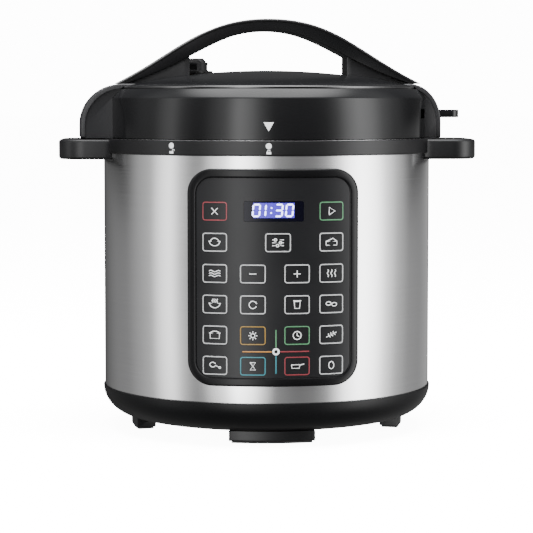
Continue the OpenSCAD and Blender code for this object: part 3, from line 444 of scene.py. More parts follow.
brass = metal("brass", (0.72, 0.5, 0.2), 0.3, (600, 600, 600), 0.008)

# %% Board, silicone and clear plastic
def circuit_green():
    """Solder mask: blotches of two greens stand for the copper that shows through it."""
    made, tree, shader = finish_tree("circuit_green", (0.01, 0.11, 0.035), 0.32, coat=0.4)
    copper = streaks(tree, (160, 160, 160), detail=1)
    tree.links.new(tinted(tree, copper, (0.006, 0.07, 0.02), (0.02, 0.17, 0.05)),
                   shader.inputs["Base Color"])
    relief(tree, shader, copper, 0.3, 0.03)
    return made


def soft_clear(name, color, roughness, through, ior=1.41):
    """Silicone or clear plastic that lets a share of the light through."""
    made, tree, shader = finish_tree(name, color, roughness)
    shader.inputs["Transmission Weight"].default_value = through
    shader.inputs["IOR"].default_value = ior
    cloud = streaks(tree, (60, 60, 60), detail=4)
    tree.links.new(spread(tree, cloud, roughness * 0.85, roughness * 1.2), shader.inputs["Roughness"])
    relief(tree, shader, streaks(tree, (700, 700, 700)), 0.12, 0.02)
    return made


board_green = circuit_green()
silicone = soft_clear("silicone", (0.86, 0.85, 0.8), 0.38, 0.35)
cup_clear = soft_clear("cup_clear", (0.86, 0.88, 0.9), 0.12, 0.85, 1.49)


def glowing(name, color, strength):
    """A lit figure or lamp."""
    made, tree, shader = finish_tree(name, color, 0.4)
    shader.inputs["Emission Color"].default_value = (*color, 1)
    shader.inputs["Emission Strength"].default_value = strength
    cloud = streaks(tree, (900, 900, 900))
    tree.links.new(tinted(tree, cloud, shade_of(color, 0.85), color), shader.inputs["Base Color"])
    return made


def printed(name, color, glow):
    """Screen-printed ink: nearly matt, with the faint mottle of its mesh and a little painted glow, an
    emission that brightens the ink though it is no lamp.
    """
    made, tree, shader = finish_tree(name, color, 0.45)
    mottle = streaks(tree, (1500, 1500, 1500), detail=1)
    tree.links.new(tinted(tree, mottle, shade_of(color, 0.9), color), shader.inputs["Base Color"])
    # painted glow: the ink gives out a little light of its own, though it is no lamp
    shader.inputs["Emission Color"].default_value = (*color, 1)
    shader.inputs["Emission Strength"].default_value = glow
    return made


# the last number of each ink is its painted glow: emission that makes the print brighter than the light on
# it would
ink_white = printed("ink_white", (0.75, 0.76, 0.77), 0.25)
ink_pale = printed("ink_pale", (0.4, 0.405, 0.41), 0.12)
ink_red = printed("ink_red", (0.2, 0.022, 0.03), 0.05)
ink_green = printed("ink_green", (0.06, 0.2, 0.09), 0.05)
ink_yellow = printed("ink_yellow", (0.24, 0.14, 0.02), 0.05)
ink_teal = printed("ink_teal", (0.02, 0.17, 0.21), 0.05)
ink_orange = printed("ink_orange", (0.4, 0.17, 0.03), 0.05)
digit_glow = glowing("digit_glow", (0.55, 0.6, 1.0), 4.5)
haze_glow = glowing("haze_glow", (0.05, 0.03, 0.42), 0.55)

# %% [markdown]
# ## Steel drum
# The drum is one sheet rolled into a tube, 0.8 mm thick, with a window pressed out for
# the panel and another for the mains inlet. Turning a thin rectangle about Z gives the
# tube; the windows are cut with Booleans, as a press would cut them.

# %% Drum
drum = turned("drum", rounded([
    (SHELL_R - 0.8, SHELL_TOP), (SHELL_R - 0.8, shell_low.z),
    (SHELL_R, shell_low.z), (SHELL_R, SHELL_TOP)], 0.2, 2), 256)
panel_window = slab("panel_window", rounded_box(PANEL_W - 18, PANEL_H - 18, 10, (0, PANEL_MID)),
                    60, 200, UPRIGHT)
INLET_Z = sum(c.z for c in box_mm("inlet_socket")) / 2
inlet_window = block("inlet_window", (-19, 19), (105, 145), (INLET_Z - 14, INLET_Z + 14))
carve(drum, panel_window, inlet_window)
fit_out(drum, brushed_drum, "root", ["outer_shell"])
print("drum", len(drum.data.polygons), "faces")

# %% [markdown]
# ## Base bowl and feet
# The bowl is one black moulding: a flat floor that curves up to the seam under the
# drum. Its outline is a quarter ellipse outside and inside, with a stepped ledge where
# the sheet stands. The floor has cooling slots and four screw wells.

# %% Base bowl
FLOOR_R = BASE_R - 28.2
BOWL_H = SEAM_Z - BASE_Z
SCREW_R = 85
DIAGONAL = [radians(a) for a in (45, 135, 225, 315)]


def bowl_curve(shrink, first, last, steps=22):
    """The bowl's quarter ellipse, shrunk by a wall's thickness, between two angles."""
    return [(FLOOR_R + (BASE_R - FLOOR_R - shrink) * sin(radians(a)),
             SEAM_Z - (BOWL_H - shrink) * cos(radians(a)))
            for a in (first + (last - first) * k / steps for k in range(steps + 1))]


bowl = turned("base_bowl", [(0, BASE_Z)] + bowl_curve(0, 0, 89) + [
    (BASE_R - 0.05, SEAM_Z - 0.25), (BASE_R - 0.3, SEAM_Z), (SHELL_R + 0.15, SEAM_Z),
    (SHELL_R + 0.1, SEAM_Z - 2), (SHELL_R - 3.3, SEAM_Z - 2), (SHELL_R - 3.3, SEAM_Z - 6)]
    + bowl_curve(2.5, 72, 0) + [(0, BASE_Z + 2.5)], 224)
slots = joined("slots", *[slab("slot", rounded_box(3, 40, 1.5, (9 * k, 30), 4), BASE_Z - 1, BASE_Z + 4)
                          for k in range(-5, 6)])
wells = joined("wells", *[
    slab("well", rounded_box(8.4, 8.4, 4.19, (SCREW_R * cos(a), SCREW_R * sin(a)), 8),
         BASE_Z - 1, BASE_Z + 2) for a in DIAGONAL])
carve(bowl, slots, wells)
fit_out(bowl, base_black, "root", ["base_cover"])

# %% [markdown]
# ## Geometry Nodes for what repeats
# The feet, the screws, the springs and the printed keys all repeat. A small Geometry
# Nodes tree puts a copy at each point, realizes the copies and sets their finish. The
# result is made a plain mesh, because the exported model can't hold live nodes.

# %% Tree helpers
def fresh_tree(name, *numbers):
    """A geometry tree with a geometry input and named number inputs."""
    tree = bpy.data.node_groups.new(name, "GeometryNodeTree")
    face = tree.interface
    face.new_socket("Geometry", in_out="INPUT", socket_type="NodeSocketGeometry")
    for label, value in numbers:
        socket = face.new_socket(label, in_out="INPUT", socket_type="NodeSocketFloat")
        socket.default_value = value
    face.new_socket("Geometry", in_out="OUTPUT", socket_type="NodeSocketGeometry")
    return tree, tree.nodes.new("NodeGroupInput"), tree.nodes.new("NodeGroupOutput")


def node_math(tree, operation, *values):
    """A maths node; each value is a number or another node's output."""
    node = tree.nodes.new("ShaderNodeMath")
    node.operation = operation
    for k, value in enumerate(values):
        if isinstance(value, (int, float)):
            node.inputs[k].default_value = value
        else:
            tree.links.new(value, node.inputs[k])
    return node.outputs["Value"]


def close_tree(tree, shape, finish, exit_node):
    """Ends a tree with Realize Instances and Set Material."""
    real = tree.nodes.new("GeometryNodeRealizeInstances")
    paint = tree.nodes.new("GeometryNodeSetMaterial")
    paint.inputs["Material"].default_value = finish
    tree.links.new(shape, real.inputs["Geometry"])
    tree.links.new(real.outputs["Geometry"], paint.inputs["Geometry"])
    tree.links.new(paint.outputs["Geometry"], exit_node.inputs["Geometry"])


def grown(name, base, tree, **numbers):
    """Runs a tree on an object's mesh and keeps the plain result."""
    step = base.modifiers.new("grow", "NODES")
    step.node_group = tree
    for item in tree.interface.items_tree:
        key = item.name.replace(" ", "_")
        if item.item_type == "SOCKET" and item.in_out == "INPUT" and key in numbers:
            step[item.identifier] = numbers[key]
    graph = bpy.context.evaluated_depsgraph_get()
    mesh = bpy.data.meshes.new_from_object(base.evaluated_get(graph))
    bpy.data.objects.remove(base)
    mesh.name = name
    return new_object(name, mesh)


def points_object(name, places, normals=None):
    """Loose points, with the direction that each copy faces as an attribute."""
    mesh = bpy.data.meshes.new(name)
    mesh.from_pydata([Vector(p) * MM for p in places], [], [])
    facing = mesh.attributes.new("facing", "FLOAT_VECTOR", "POINT")
    for k in range(len(places)):
        facing.data[k].vector = normals[k] if normals else (0, 0, 1)
    return new_object(name, mesh)


# %% Feet
def around_tree(finish, part):
    """Copies of one part, turned round Z by Count equal steps."""
    tree, enter, leave = fresh_tree("around_" + part.name, ("Count", 4.0))
    line = tree.nodes.new("GeometryNodePoints")
    tree.links.new(enter.outputs["Count"], line.inputs["Count"])
    place = tree.nodes.new("GeometryNodeInstanceOnPoints")
    index = tree.nodes.new("GeometryNodeInputIndex")
    share = node_math(tree, "DIVIDE", index.outputs["Index"], enter.outputs["Count"])
    turn = tree.nodes.new("ShaderNodeCombineXYZ")
    tree.links.new(node_math(tree, "MULTIPLY", share, 2 * pi), turn.inputs["Z"])
    tree.links.new(line.outputs["Points"], place.inputs["Points"])
    tree.links.new(enter.outputs["Geometry"], place.inputs["Instance"])
    tree.links.new(turn.outputs["Vector"], place.inputs["Rotation"])
    close_tree(tree, place.outputs["Instances"], finish, leave)
    return tree


FOOT_R = 105 + SHELL_R - 135
foot = turned("foot", rounded([(FOOT_R - 8, 1.6), (FOOT_R + 8, 1.6), (FOOT_R + 8, BASE_Z - 0.02),
                               (FOOT_R - 8, BASE_Z - 0.02)], [1.4, 1.4, 0.3, 0.3]), 36, -17.7, 35.4)
feet = grown("foot_arcs", soften(foot, 0.9, 3, 60), around_tree(satin_black, foot), Count=4.0)
fit_out(feet, satin_black, "root", ["feet"], 40)
pad = turned("pad", rounded([(FOOT_R - 6.5, 0.02), (FOOT_R + 6.5, 0.02), (FOOT_R + 6.5, 1.6),
                             (FOOT_R - 6.5, 1.6)], [0.5, 0.5, 0.1, 0.1]), 30, -16.7, 33.4)
pads = grown("foot_pads_soft", soften(pad, 0.4, 2, 60), around_tree(foot_rubber, pad), Count=4.0)
fit_out(pads, foot_rubber, "root", ["foot_pads"], 40)

# %% Screws
def screw_tree(finish):
    """A pan head with a cross recess and a shank at each point, facing along its attribute."""
    tree, enter, leave = fresh_tree("screws", ("Head radius", 4.0), ("Head height", 2.0),
                                    ("Shank radius", 2.0), ("Length", 20.0))
    nodes, links = tree.nodes, tree.links

    def scaled(label, share=1.0):
        """One of the tree's numbers in metres, times a share."""
        return node_math(tree, "MULTIPLY", enter.outputs[label], share * MM)

    def rod(sides, radius, depth, share):
        """A cylinder, shifted along Z by a share of its depth."""
        node = nodes.new("GeometryNodeMeshCylinder")
        node.inputs["Vertices"].default_value = sides
        links.new(scaled(radius), node.inputs["Radius"])
        links.new(scaled(depth), node.inputs["Depth"])
        lift = nodes.new("ShaderNodeCombineXYZ")
        links.new(scaled(depth, share), lift.inputs["Z"])
        shift = nodes.new("GeometryNodeTransform")
        links.new(node.outputs["Mesh"], shift.inputs["Geometry"])
        links.new(lift.outputs["Vector"], shift.inputs["Translation"])
        return shift.outputs["Geometry"]

    head = rod(28, "Head radius", "Head height", -0.5)
    shank = rod(16, "Shank radius", "Length", 0.5)
    bar_size = nodes.new("ShaderNodeCombineXYZ")
    links.new(scaled("Head radius", 1.15), bar_size.inputs["X"])
    bar_size.inputs["Y"].default_value = 0.7 * MM
    links.new(scaled("Head height"), bar_size.inputs["Z"])
    bar = nodes.new("GeometryNodeMeshCube")
    links.new(bar_size.outputs["Vector"], bar.inputs["Size"])
    drop = nodes.new("ShaderNodeCombineXYZ")
    links.new(scaled("Head height", -1.05), drop.inputs["Z"])
    cuts = []
    for turn in (0, pi / 2):
        place = nodes.new("GeometryNodeTransform")
        place.inputs["Rotation"].default_value = (0, 0, turn)
        links.new(bar.outputs["Mesh"], place.inputs["Geometry"])
        links.new(drop.outputs["Vector"], place.inputs["Translation"])
        cuts.append(place.outputs["Geometry"])
    cut = nodes.new("GeometryNodeMeshBoolean")
    cut.operation = "DIFFERENCE"
    links.new(head, cut.inputs["Mesh 1"])
    for one in cuts:
        links.new(one, cut.inputs["Mesh 2"])
    both = nodes.new("GeometryNodeJoinGeometry")
    links.new(cut.outputs["Mesh"], both.inputs["Geometry"])
    links.new(shank, both.inputs["Geometry"])
    facing = nodes.new("GeometryNodeInputNamedAttribute")
    facing.data_type = "FLOAT_VECTOR"
    facing.inputs["Name"].default_value = "facing"
    align = nodes.new("FunctionNodeAlignEulerToVector")
    align.axis = "Z"
    links.new(facing.outputs["Attribute"], align.inputs["Vector"])
    place = nodes.new("GeometryNodeInstanceOnPoints")
    links.new(enter.outputs["Geometry"], place.inputs["Points"])
    links.new(both.outputs["Geometry"], place.inputs["Instance"])
    links.new(align.outputs["Rotation"], place.inputs["Rotation"])
    close_tree(tree, place.outputs["Instances"], finish, leave)
    return tree


screws = screw_tree(screw_zinc)


def ring_points(radius, z, angles):
    return [(radius * cos(a), radius * sin(a), z) for a in angles]


def in_lid(x, y, z):
    """A place on the lid, turned with it."""
    a = radians(LID_YAW)
    return (x * cos(a) - y * sin(a), x * sin(a) + y * cos(a), z)


def screw_set(node, places, head_r, head_h, shank_r, length, normals=None):
    """Every screw of one CAD node; a place is where its head meets its shank."""
    made = grown(node + "_set", points_object(node + "_points", places, normals), screws,
                 Head_radius=head_r, Head_height=head_h, Shank_radius=shank_r, Length=length)
    return fit_out(made, screw_zinc, BODY_OF[node], [node], 30)


screw_low, screw_high = box_mm("base_screws")
screw_set("base_screws", ring_points(SCREW_R, screw_low.z + 2, DIAGONAL), 4, 2, 2,
          screw_high.z - screw_low.z - 2)
collar_low = box_mm("collar_screws")[0]
TROUGH_SCREW_R = (-collar_low.x - 3.4) / cos(pi / 4)
screw_set("collar_screws", ring_points(TROUGH_SCREW_R, collar_low.z + 1.8, DIAGONAL), 3.4, 1.8, 1.5, 7)
board_low, board_high = box_mm("control_board")
POST_Z = PANEL_H / 2 - 20
POSTS = [(x, PANEL_MID + side * POST_Z) for x in (-42, 42) for side in (-1, 1)]
screw_set("board_screws", [(x, board_high.y, z) for x, z in POSTS], 2.6, 1.4, 1.2, 7, [(0, -1, 0)] * 4)
screw_set("lid_screws", ring_points(78, box_mm("lid_screws")[0].z + 2,
                                    [radians(LID_YAW + a) for a in (0, 90, 180, 270)]), 4, 2, 1.65, 10)
screw_set("handle_screws", [in_lid(x, y, box_mm("handle_screws")[0].z + 1.8)
                            for x in (-88, 88) for y in (-8, 8)], 3.5, 1.8, 1.55, 11)
print("collar screw circle", round(TROUGH_SCREW_R, 2))

# %% [markdown]
# ## Collar and side handles
# The collar is one moulding: an outer band over the top of the drum, a trough that
# catches drips inside it, and two flat side handles that are hollow underneath. The
# ring is turned, each handle is a softened slab, and Booleans join them.

# %% Collar
TROUGH_Z = COLLAR_Z - 23
TROUGH_R = COVER_R + 0.2
TROUGH_IN = 116
collar = turned("collar", rounded([
    (COLLAR_R, SHELL_TOP + 0.2), (COLLAR_R, COLLAR_Z), (TROUGH_R, COLLAR_Z), (TROUGH_R, TROUGH_Z + 2),
    (TROUGH_IN + 1.5, TROUGH_Z + 2), (TROUGH_IN + 1.5, TROUGH_Z + 13.6), (TROUGH_IN, TROUGH_Z + 13.6),
    (TROUGH_IN, TROUGH_Z), (TROUGH_R + 2.8, TROUGH_Z), (TROUGH_R + 2.8, SHELL_TOP + 0.2)],
    [0.9, 0.55, 0.5, 0.8, 0.8, 0.3, 0.3, 0.5, 0.5, 0.2]), 224)


def side_handle():
    """The right-hand handle: a softened slab, hollowed from below and cut back to the ring."""
    low, high, wall = COLLAR_Z - 16.7, COLLAR_Z - 0.4, 3.2
    middle = (GRIP_END - 30, 0)
    grip = soften(slab("grip", rounded_box(60, 92, 22, middle, 14), low, high), 2.6, 4, 50)
    hollow = slab("hollow", rounded_box(60 - 2 * wall, 92 - 2 * wall, 22 - wall, middle, 12),
                  low - 1, high - wall)
    hollow = carve(soften(hollow, 1.2, 2, 50), turned("core", [
        (0, low - 5), (COLLAR_R + 1, low - 5), (COLLAR_R + 1, high + 5), (0, high + 5)], 224))
    return carve(grip, hollow, turned("bore", [
        (0, low - 5), (SHELL_R + 0.2, low - 5), (SHELL_R + 0.2, SHELL_TOP + 0.2),
        (COLLAR_R - 3, SHELL_TOP + 0.2), (COLLAR_R - 3, high + 5), (0, high + 5)], 224))


right_handle = side_handle()
left_handle = mirrored(right_handle, "grip_left", keep=True)
carve(collar, right_handle, left_handle, way="UNION")
fit_out(collar, satin_black, "root", ["top_collar"], 38)
print("collar", len(collar.data.polygons), "faces")

# %% [markdown]
# ## Lid shell
# The lid's cover is turned from one outline: an upright wall, a chamfer, a narrow
# groove, a lip that catches the light, and a shallow dome. A slot lets the release
# lever through, and two round holes let the valves through.

# %% Lid outline
GROOVE_Z = WALL_TOP + 5.8
CHAMFER_TOP = WALL_TOP + 7
LIP_ROUND = 1.7
VENT = (-60, 50)
FLOAT = (-24, 58)
lever_low, lever_high = box_mm("release_lever")
SLOT_LOW, SLOT_HIGH = lever_low.z - 0.5, lever_high.z + 0.5


def dome_line(edge, sink, steps=26):
    """The dome's line from the middle out to a radius, sunk by a wall's thickness."""
    return [(edge * k / steps, dome_at(edge * k / steps) - sink) for k in range(steps + 1)]


outside = [(COVER_R, LID_Z + 0.6), (COVER_R, WALL_TOP - 0.7), (COVER_R - 0.25, WALL_TOP - 0.1),
           (COVER_R - 0.8, WALL_TOP + 0.7), (LIP_R + 2.5, CHAMFER_TOP - 0.25),
           (LIP_R + 2.2, CHAMFER_TOP - 0.05), (LIP_R + 2, CHAMFER_TOP - 0.2), (LIP_R + 2, GROOVE_Z),
           (LIP_R, GROOVE_Z)] + [(LIP_R - LIP_ROUND * (1 - cos(radians(a))),
                                  LIP_Z + 0.05 - LIP_ROUND * (1 - sin(radians(a))))
                                 for a in range(0, 81, 10)]
inside = [(118, dome_at(118) - 2.4), (121, WALL_TOP + 4.6), (COVER_R - 2.2, WALL_TOP - 1.2),
          (COVER_R - 2.2, LID_Z)]
lid_shell = turned("lid_shell", [(COVER_R - 0.6, LID_Z)] + outside
                   + list(reversed(dome_line(LIP_R - 2.2, 0)))
                   + dome_line(116, 2.3, 14) + inside, 256)


def lid_solid(name, grow=0.0):
    """The space inside the lid's outside, for cutting what sits on it."""
    return turned(name, [(0, 200), (COVER_R + grow, 200), (COVER_R + grow, WALL_TOP + grow),
                         (LIP_R + 2 + grow, CHAMFER_TOP + grow), (LIP_R + grow, LIP_Z + grow)]
                  + list(reversed(dome_line(LIP_R - 1, -grow, 20))), 224)


def hole(place, radius, name):
    return slab(name, rounded_box(2 * radius, 2 * radius, radius - 0.01, place, 10), 200, 320)


slot_outline = rounded([(COVER_R - 8, SLOT_LOW), (COVER_R + 5, SLOT_LOW),
                        (COVER_R + 5, SLOT_HIGH), (COVER_R - 8, SLOT_HIGH)], 0.1, 1)
lever_slot = turned("lever_slot", slot_outline, 48, -22.5, 29)
carve(lid_shell, lever_slot, hole(VENT, 7.2, "vent_hole"), hole(FLOAT, 5.8, "float_hole"))
with_lid(lid_shell)
fit_out(lid_shell, gloss_black, "lid", ["lid_cover"], 24)
bead_arc = [(LIP_R - 1.15 + 1.25 * cos(radians(a)), LIP_Z - 1.0 + 1.2 * sin(radians(a)))
            for a in range(-30, 91, 12)]
bead = turned("lip_bead", [(LIP_R - 1.4, LIP_Z - 1.6)] + bead_arc + [(LIP_R - 1.6, LIP_Z - 0.2)], 256)
fit_out(bead, lip_polish, "lid", (), 40)
print("lid shell", len(lid_shell.data.polygons), "faces")

# %% [markdown]
# ## Wings and carrying handle
# Each end of the handle runs down into a wing that hooks over the lid's wall. A wing is
# a quarter-ellipse slab with softened edges; its front and back faces are sunk a little
# inside a raised rim. The arch between them is lofted from two curves, and a separate
# cap lies along its top.

# %% Wings
EAR_TOP = LIP_Z + 2.2
EAR_HALF = 27
EAR_X = 102.7


def wing_outline(reach, start, drop, inset, low=None):
    """A wing from the side: flat on top from EAR_X, then a quarter ellipse down to its foot."""
    low = LID_Z + 0.1 if low is None else low
    foot_z = LID_Z + 0.1 + drop
    curve = [(start + (reach - start - inset) * sin(radians(a)),
              foot_z + (EAR_TOP - foot_z - inset) * cos(radians(a))) for a in range(0, 91, 4)]
    curve[-1] = (reach - inset, foot_z)
    return curve + [(reach - inset, low), (EAR_X, low), (EAR_X, EAR_TOP - inset)]


def wing(name, reach, start, drop, *openings):
    """One wing: softened, hollowed, sunk on both sides and cut to sit on the lid."""
    def face(name, half_from, half_to, inset, low=None):
        return slab(name, wing_outline(reach, start, drop, inset, low), half_from, half_to, UPRIGHT)

    body = soften(face(name, -EAR_HALF, EAR_HALF, 0), 1.5, 3, 30)
    low = LID_Z - 3
    hollow = carve(face("hollow", -EAR_HALF + 3, EAR_HALF - 3, 3, low), turned("keep", [
        (0, low - 5), (COVER_R + 1.5, low - 5), (COVER_R + 1.5, 330), (0, 330)], 96))
    hollow = carve(hollow, block("above", (80, 200), (-60, 60), (WALL_TOP - 4, 330)))
    sunk = 1.5
    sides = joined("sides", soften(face("front", EAR_HALF - sunk, EAR_HALF + 6, 3.8, low), 0.5, 2, 30),
                   soften(face("back", -EAR_HALF - 6, -EAR_HALF + sunk, 3.8, low), 0.5, 2, 30))
    carve(body, hollow, sides, lid_solid("lid_space", 0.05), *openings)
    return body


right_wing = wing("right_wing", COVER_R + 11.2, COVER_R - 15, 12.6,
                  block("lever_way", (COVER_R - 10, COVER_R + 20), (-21, 10), (SLOT_LOW, SLOT_HIGH)))
fit_out(with_lid(right_wing), wing_grey, "lid", ["right_ear"], 32)
left_wing = mirrored(wing("wing", COVER_R + 23.8, COVER_R - 11, 10.6), "left_wing")
fit_out(with_lid(left_wing), wing_grey, "lid", ["left_ear"], 32)

# %% Carrying handle
HANDLE_SPAN = 125.5
HANDLE_END = DOME_Z - 10.7
UPPER = [(0, HANDLE_Z), (56, HANDLE_Z), (74, HANDLE_Z - 28), (HANDLE_SPAN, HANDLE_END)]
LOWER = [(0, HANDLE_Z - 9.8), (42, HANDLE_Z - 9.8), (60, HANDLE_Z - 35),
         (HANDLE_SPAN - 7.5, HANDLE_END - 0.5)]
CAP_T = 2.6


def on_curve(points, t):
    """A point of a cubic curve; a negative t gives its mirror image in X."""
    s = abs(t)
    x, z = (sum(c * p[i] for c, p in zip(((1 - s) ** 3, 3 * (1 - s) ** 2 * s, 3 * (1 - s) * s * s,
                                           s ** 3), points)) for i in (0, 1))
    return (x if t >= 0 else -x, z)


def half_width(x, inset):
    """Half the handle's width, which grows slowly to 70 mm out and faster from there."""
    x = abs(x)
    return 20 - inset + (x / 70 * 0.5 if x < 70 else 0.5 + (x - 70) / 56.5 * 3.5)


def arch(name, upper, lower, inset, steps=44):
    """A bar lofted between two edge curves, square in section."""
    bm = bmesh.new()
    rings = []
    for k in range(-steps, steps + 1):
        (xu, zu), (xl, zl) = upper(k / steps), lower(k / steps)
        rings.append([bm.verts.new((x * MM, y * MM, z * MM)) for x, y, z in (
            (xu, -half_width(xu, inset), zu), (xu, half_width(xu, inset), zu),
            (xl, half_width(xl, inset), zl), (xl, -half_width(xl, inset), zl))])
    for a, b in zip(rings, rings[1:]):
        for i in range(4):
            j = (i + 1) % 4
            bm.faces.new((a[i], a[j], b[j], b[i]))
    bm.faces.new(rings[0])
    bm.faces.new(list(reversed(rings[-1])))
    return from_bmesh(name, bm)


def lowered(points, drop):
    """A curve as a function of t, lowered by drop."""
    def at(t):
        x, z = on_curve(points, t)
        return (x, z - drop)
    return at


def ear_room(name):
    """The two blocks of space that the wings fill, which the arch stops at."""
    from_x, top = EAR_X - 0.2, EAR_TOP + 0.05
    return joined(name, block("right", (from_x, 200), (-40, 40), (200, top)),
                  block("left", (-200, -from_x), (-40, 40), (200, top)))


handle_arch = arch("handle_arch", lowered(UPPER, CAP_T - 0.02), lowered(LOWER, 0), 0.6)
carve(handle_arch, ear_room("ears_space"))
carve(soften(handle_arch, 2, 4, 50), lid_solid("lid_space", 0.05))
fit_out(with_lid(handle_arch), handle_black, "lid", ["handle_body"], 30)
WEB_X = 65
under_arch = [lowered(LOWER, -1)(t) for t in (0.66, 0.72, 0.78, 0.85, 0.9, 0.95)]
web_side = [(WEB_X, dome_at(WEB_X) - 8), (WEB_X, on_curve(LOWER, 0.62)[1] + 2)] + under_arch + [
    (HANDLE_SPAN - 1.5, HANDLE_END - 0.1), (HANDLE_SPAN - 1.5, HANDLE_END - 20)]
web = soften(slab("web", web_side, -16, 16, UPRIGHT), 0.9, 2, 40)
webs = joined("handle_webs", mirrored(web, "web_left", keep=True), web)
carve(webs, lid_solid("lid_space", 0.05), ear_room("ears_space"))
fit_out(with_lid(webs), wing_grey, "lid", (), 30)
handle_top = soften(arch("handle_top", lowered(UPPER, 0), lowered(UPPER, CAP_T), 0), 1.2, 4, 50)
carve(handle_top, ear_room("ears_space"), lid_solid("lid_space", 0.05))
fit_out(with_lid(handle_top), lip_polish, "lid", ["handle_cap"], 40)
print("handle", len(handle_arch.data.polygons), "faces")

# %% [markdown]
# ## Valves, lever and what is under the lid
# These are small, so the CAD shapes are right. A clean copy of each, with its edges
# broken, takes a finish of its own.

# %% Lid fittings
for node, finish, edge in (
        ("steam_cap", satin_black, 0.7), ("steam_weight", pressed_steel, 0.3),
        ("vent_pipe", brass, 0.2), ("vent_nut", screw_zinc, 0.3), ("vent_shield", pressed_steel, 0.15),
        ("float_pin", red_cap, 0.35), ("float_gasket", silicone, 0.3), ("float_seat", ceramic, 0.25),
        ("release_lever", gloss_black, 0.9), ("lever_pin", screw_zinc, 0.3),
        ("interlock_guide", zinc_sheet, 0.3), ("interlock_slider", zinc_sheet, 0.2),
        ("ring_rack", spring_steel, 0.3), ("lid_plate", pressed_steel, 0.0)):
    dressed(node, finish, edge)

# %% [markdown]
# ## What is inside the drum
# The sensor's spring is a coil with a mesh of its own.
# The pot lifts out, so it is turned afresh with a rolled rim and soft corners. The
# heating plate has shallow rings in its face, and the sealing ring is a soft channel.
# Boards, sockets and brackets are the CAD shapes with their edges broken.

# %% Pot, plate and ring
pot_low, pot_high = box_mm("inner_pot")
POT_R = pot_high.x
POT_TOP = pot_high.z
POT_BASE = pot_low.z
POT_IN = 110
POT_OUT = POT_IN + 1.2


def pot_corner(radius, level, bend, steps=10):
    """A quarter turn from the pot's floor up into its wall."""
    return [(radius - bend + bend * sin(radians(a)), level + bend - bend * cos(radians(a)))
            for a in (90 * k / steps for k in range(steps + 1))]


RIM_T = 2.1
rim_bead = [(POT_OUT, POT_TOP - RIM_T - 0.6), (POT_OUT + 0.5, POT_TOP - RIM_T)] + [
    (POT_R - RIM_T / 2 + RIM_T / 2 * cos(radians(a)), POT_TOP - RIM_T / 2 + RIM_T / 2 * sin(radians(a)))
    for a in range(-90, 91, 18)] + [
    (POT_IN + 1.2, POT_TOP), (POT_IN + 0.35, POT_TOP - 0.35), (POT_IN, POT_TOP - 1.2)]
pot = turned("cooking_pot", [(0, POT_BASE)] + pot_corner(POT_OUT, POT_BASE, 9) + rim_bead
             + list(reversed(pot_corner(POT_IN, POT_BASE + 1.2, 7.8))) + [(0, POT_BASE + 1.2)], 224)
fit_out(pot, pot_steel, BODY_OF["inner_pot"], ["inner_pot"], 30)

plate_low, plate_high = box_mm("heating_plate")
plate_r, plate_top = plate_high.x, plate_high.z
face = []
for r in range(30, int(plate_r) - 7, 12):
    face += [(r, plate_top), (r + 0.15, plate_top - 0.4), (r + 1.05, plate_top - 0.4),
             (r + 1.2, plate_top)]
edge_line = [(17, plate_low.z), (plate_r - 0.6, plate_low.z), (plate_r, plate_low.z + 0.6),
             (plate_r, plate_top - 1), (plate_r - 1, plate_top)]
plate = turned("heater_plate", edge_line + list(reversed(face))
               + [(17.6, plate_top), (17, plate_top - 0.6)], 192)
fit_out(plate, cast_plate, BODY_OF["heating_plate"], ["heating_plate"], 28)

ring_low, ring_high = box_mm("sealing_ring")
RING_IN = POT_IN + 1.3
ring = turned("seal_ring", rounded([
    (RING_IN, ring_low.z), (ring_high.x, ring_low.z), (ring_high.x, ring_high.z), (RING_IN, ring_high.z),
    (RING_IN, ring_high.z - 2.4), (RING_IN + 4.5, ring_high.z - 3.2), (RING_IN + 4.5, ring_low.z + 3.2),
    (RING_IN, ring_low.z + 2.4)], [0.6, 1.2, 1.2, 0.6, 0.6, 1.4, 1.4, 0.6], 4), 224)
fit_out(ring, silicone, BODY_OF["sealing_ring"], ["sealing_ring"], 40)
print("pot", len(pot.data.polygons), "faces; ring", len(ring.data.polygons), "faces")


# %% Springs
def spring_tree(finish):
    """A round wire wound on a spiral that rises along Z."""
    tree, enter, leave = fresh_tree("springs", ("Coil radius", 0.01), ("Wire radius", 0.0008),
                                    ("Turns", 6.0), ("Rise", 0.018))
    path = tree.nodes.new("GeometryNodeCurveSpiral")
    path.inputs["Resolution"].default_value = 36
    tree.links.new(enter.outputs["Turns"], path.inputs["Rotations"])
    tree.links.new(enter.outputs["Coil radius"], path.inputs["Start Radius"])
    tree.links.new(enter.outputs["Coil radius"], path.inputs["End Radius"])
    tree.links.new(enter.outputs["Rise"], path.inputs["Height"])
    wire = tree.nodes.new("GeometryNodeCurvePrimitiveCircle")
    wire.inputs["Resolution"].default_value = 10
    tree.links.new(enter.outputs["Wire radius"], wire.inputs["Radius"])
    body = tree.nodes.new("GeometryNodeCurveToMesh")
    body.inputs["Fill Caps"].default_value = True
    tree.links.new(path.outputs["Curve"], body.inputs["Curve"])
    tree.links.new(wire.outputs["Curve"], body.inputs["Profile Curve"])
    place = tree.nodes.new("GeometryNodeInstanceOnPoints")
    tree.links.new(enter.outputs["Geometry"], place.inputs["Points"])
    tree.links.new(body.outputs["Mesh"], place.inputs["Instance"])
    close_tree(tree, place.outputs["Instances"], finish, leave)
    return tree


springs = spring_tree(spring_steel)


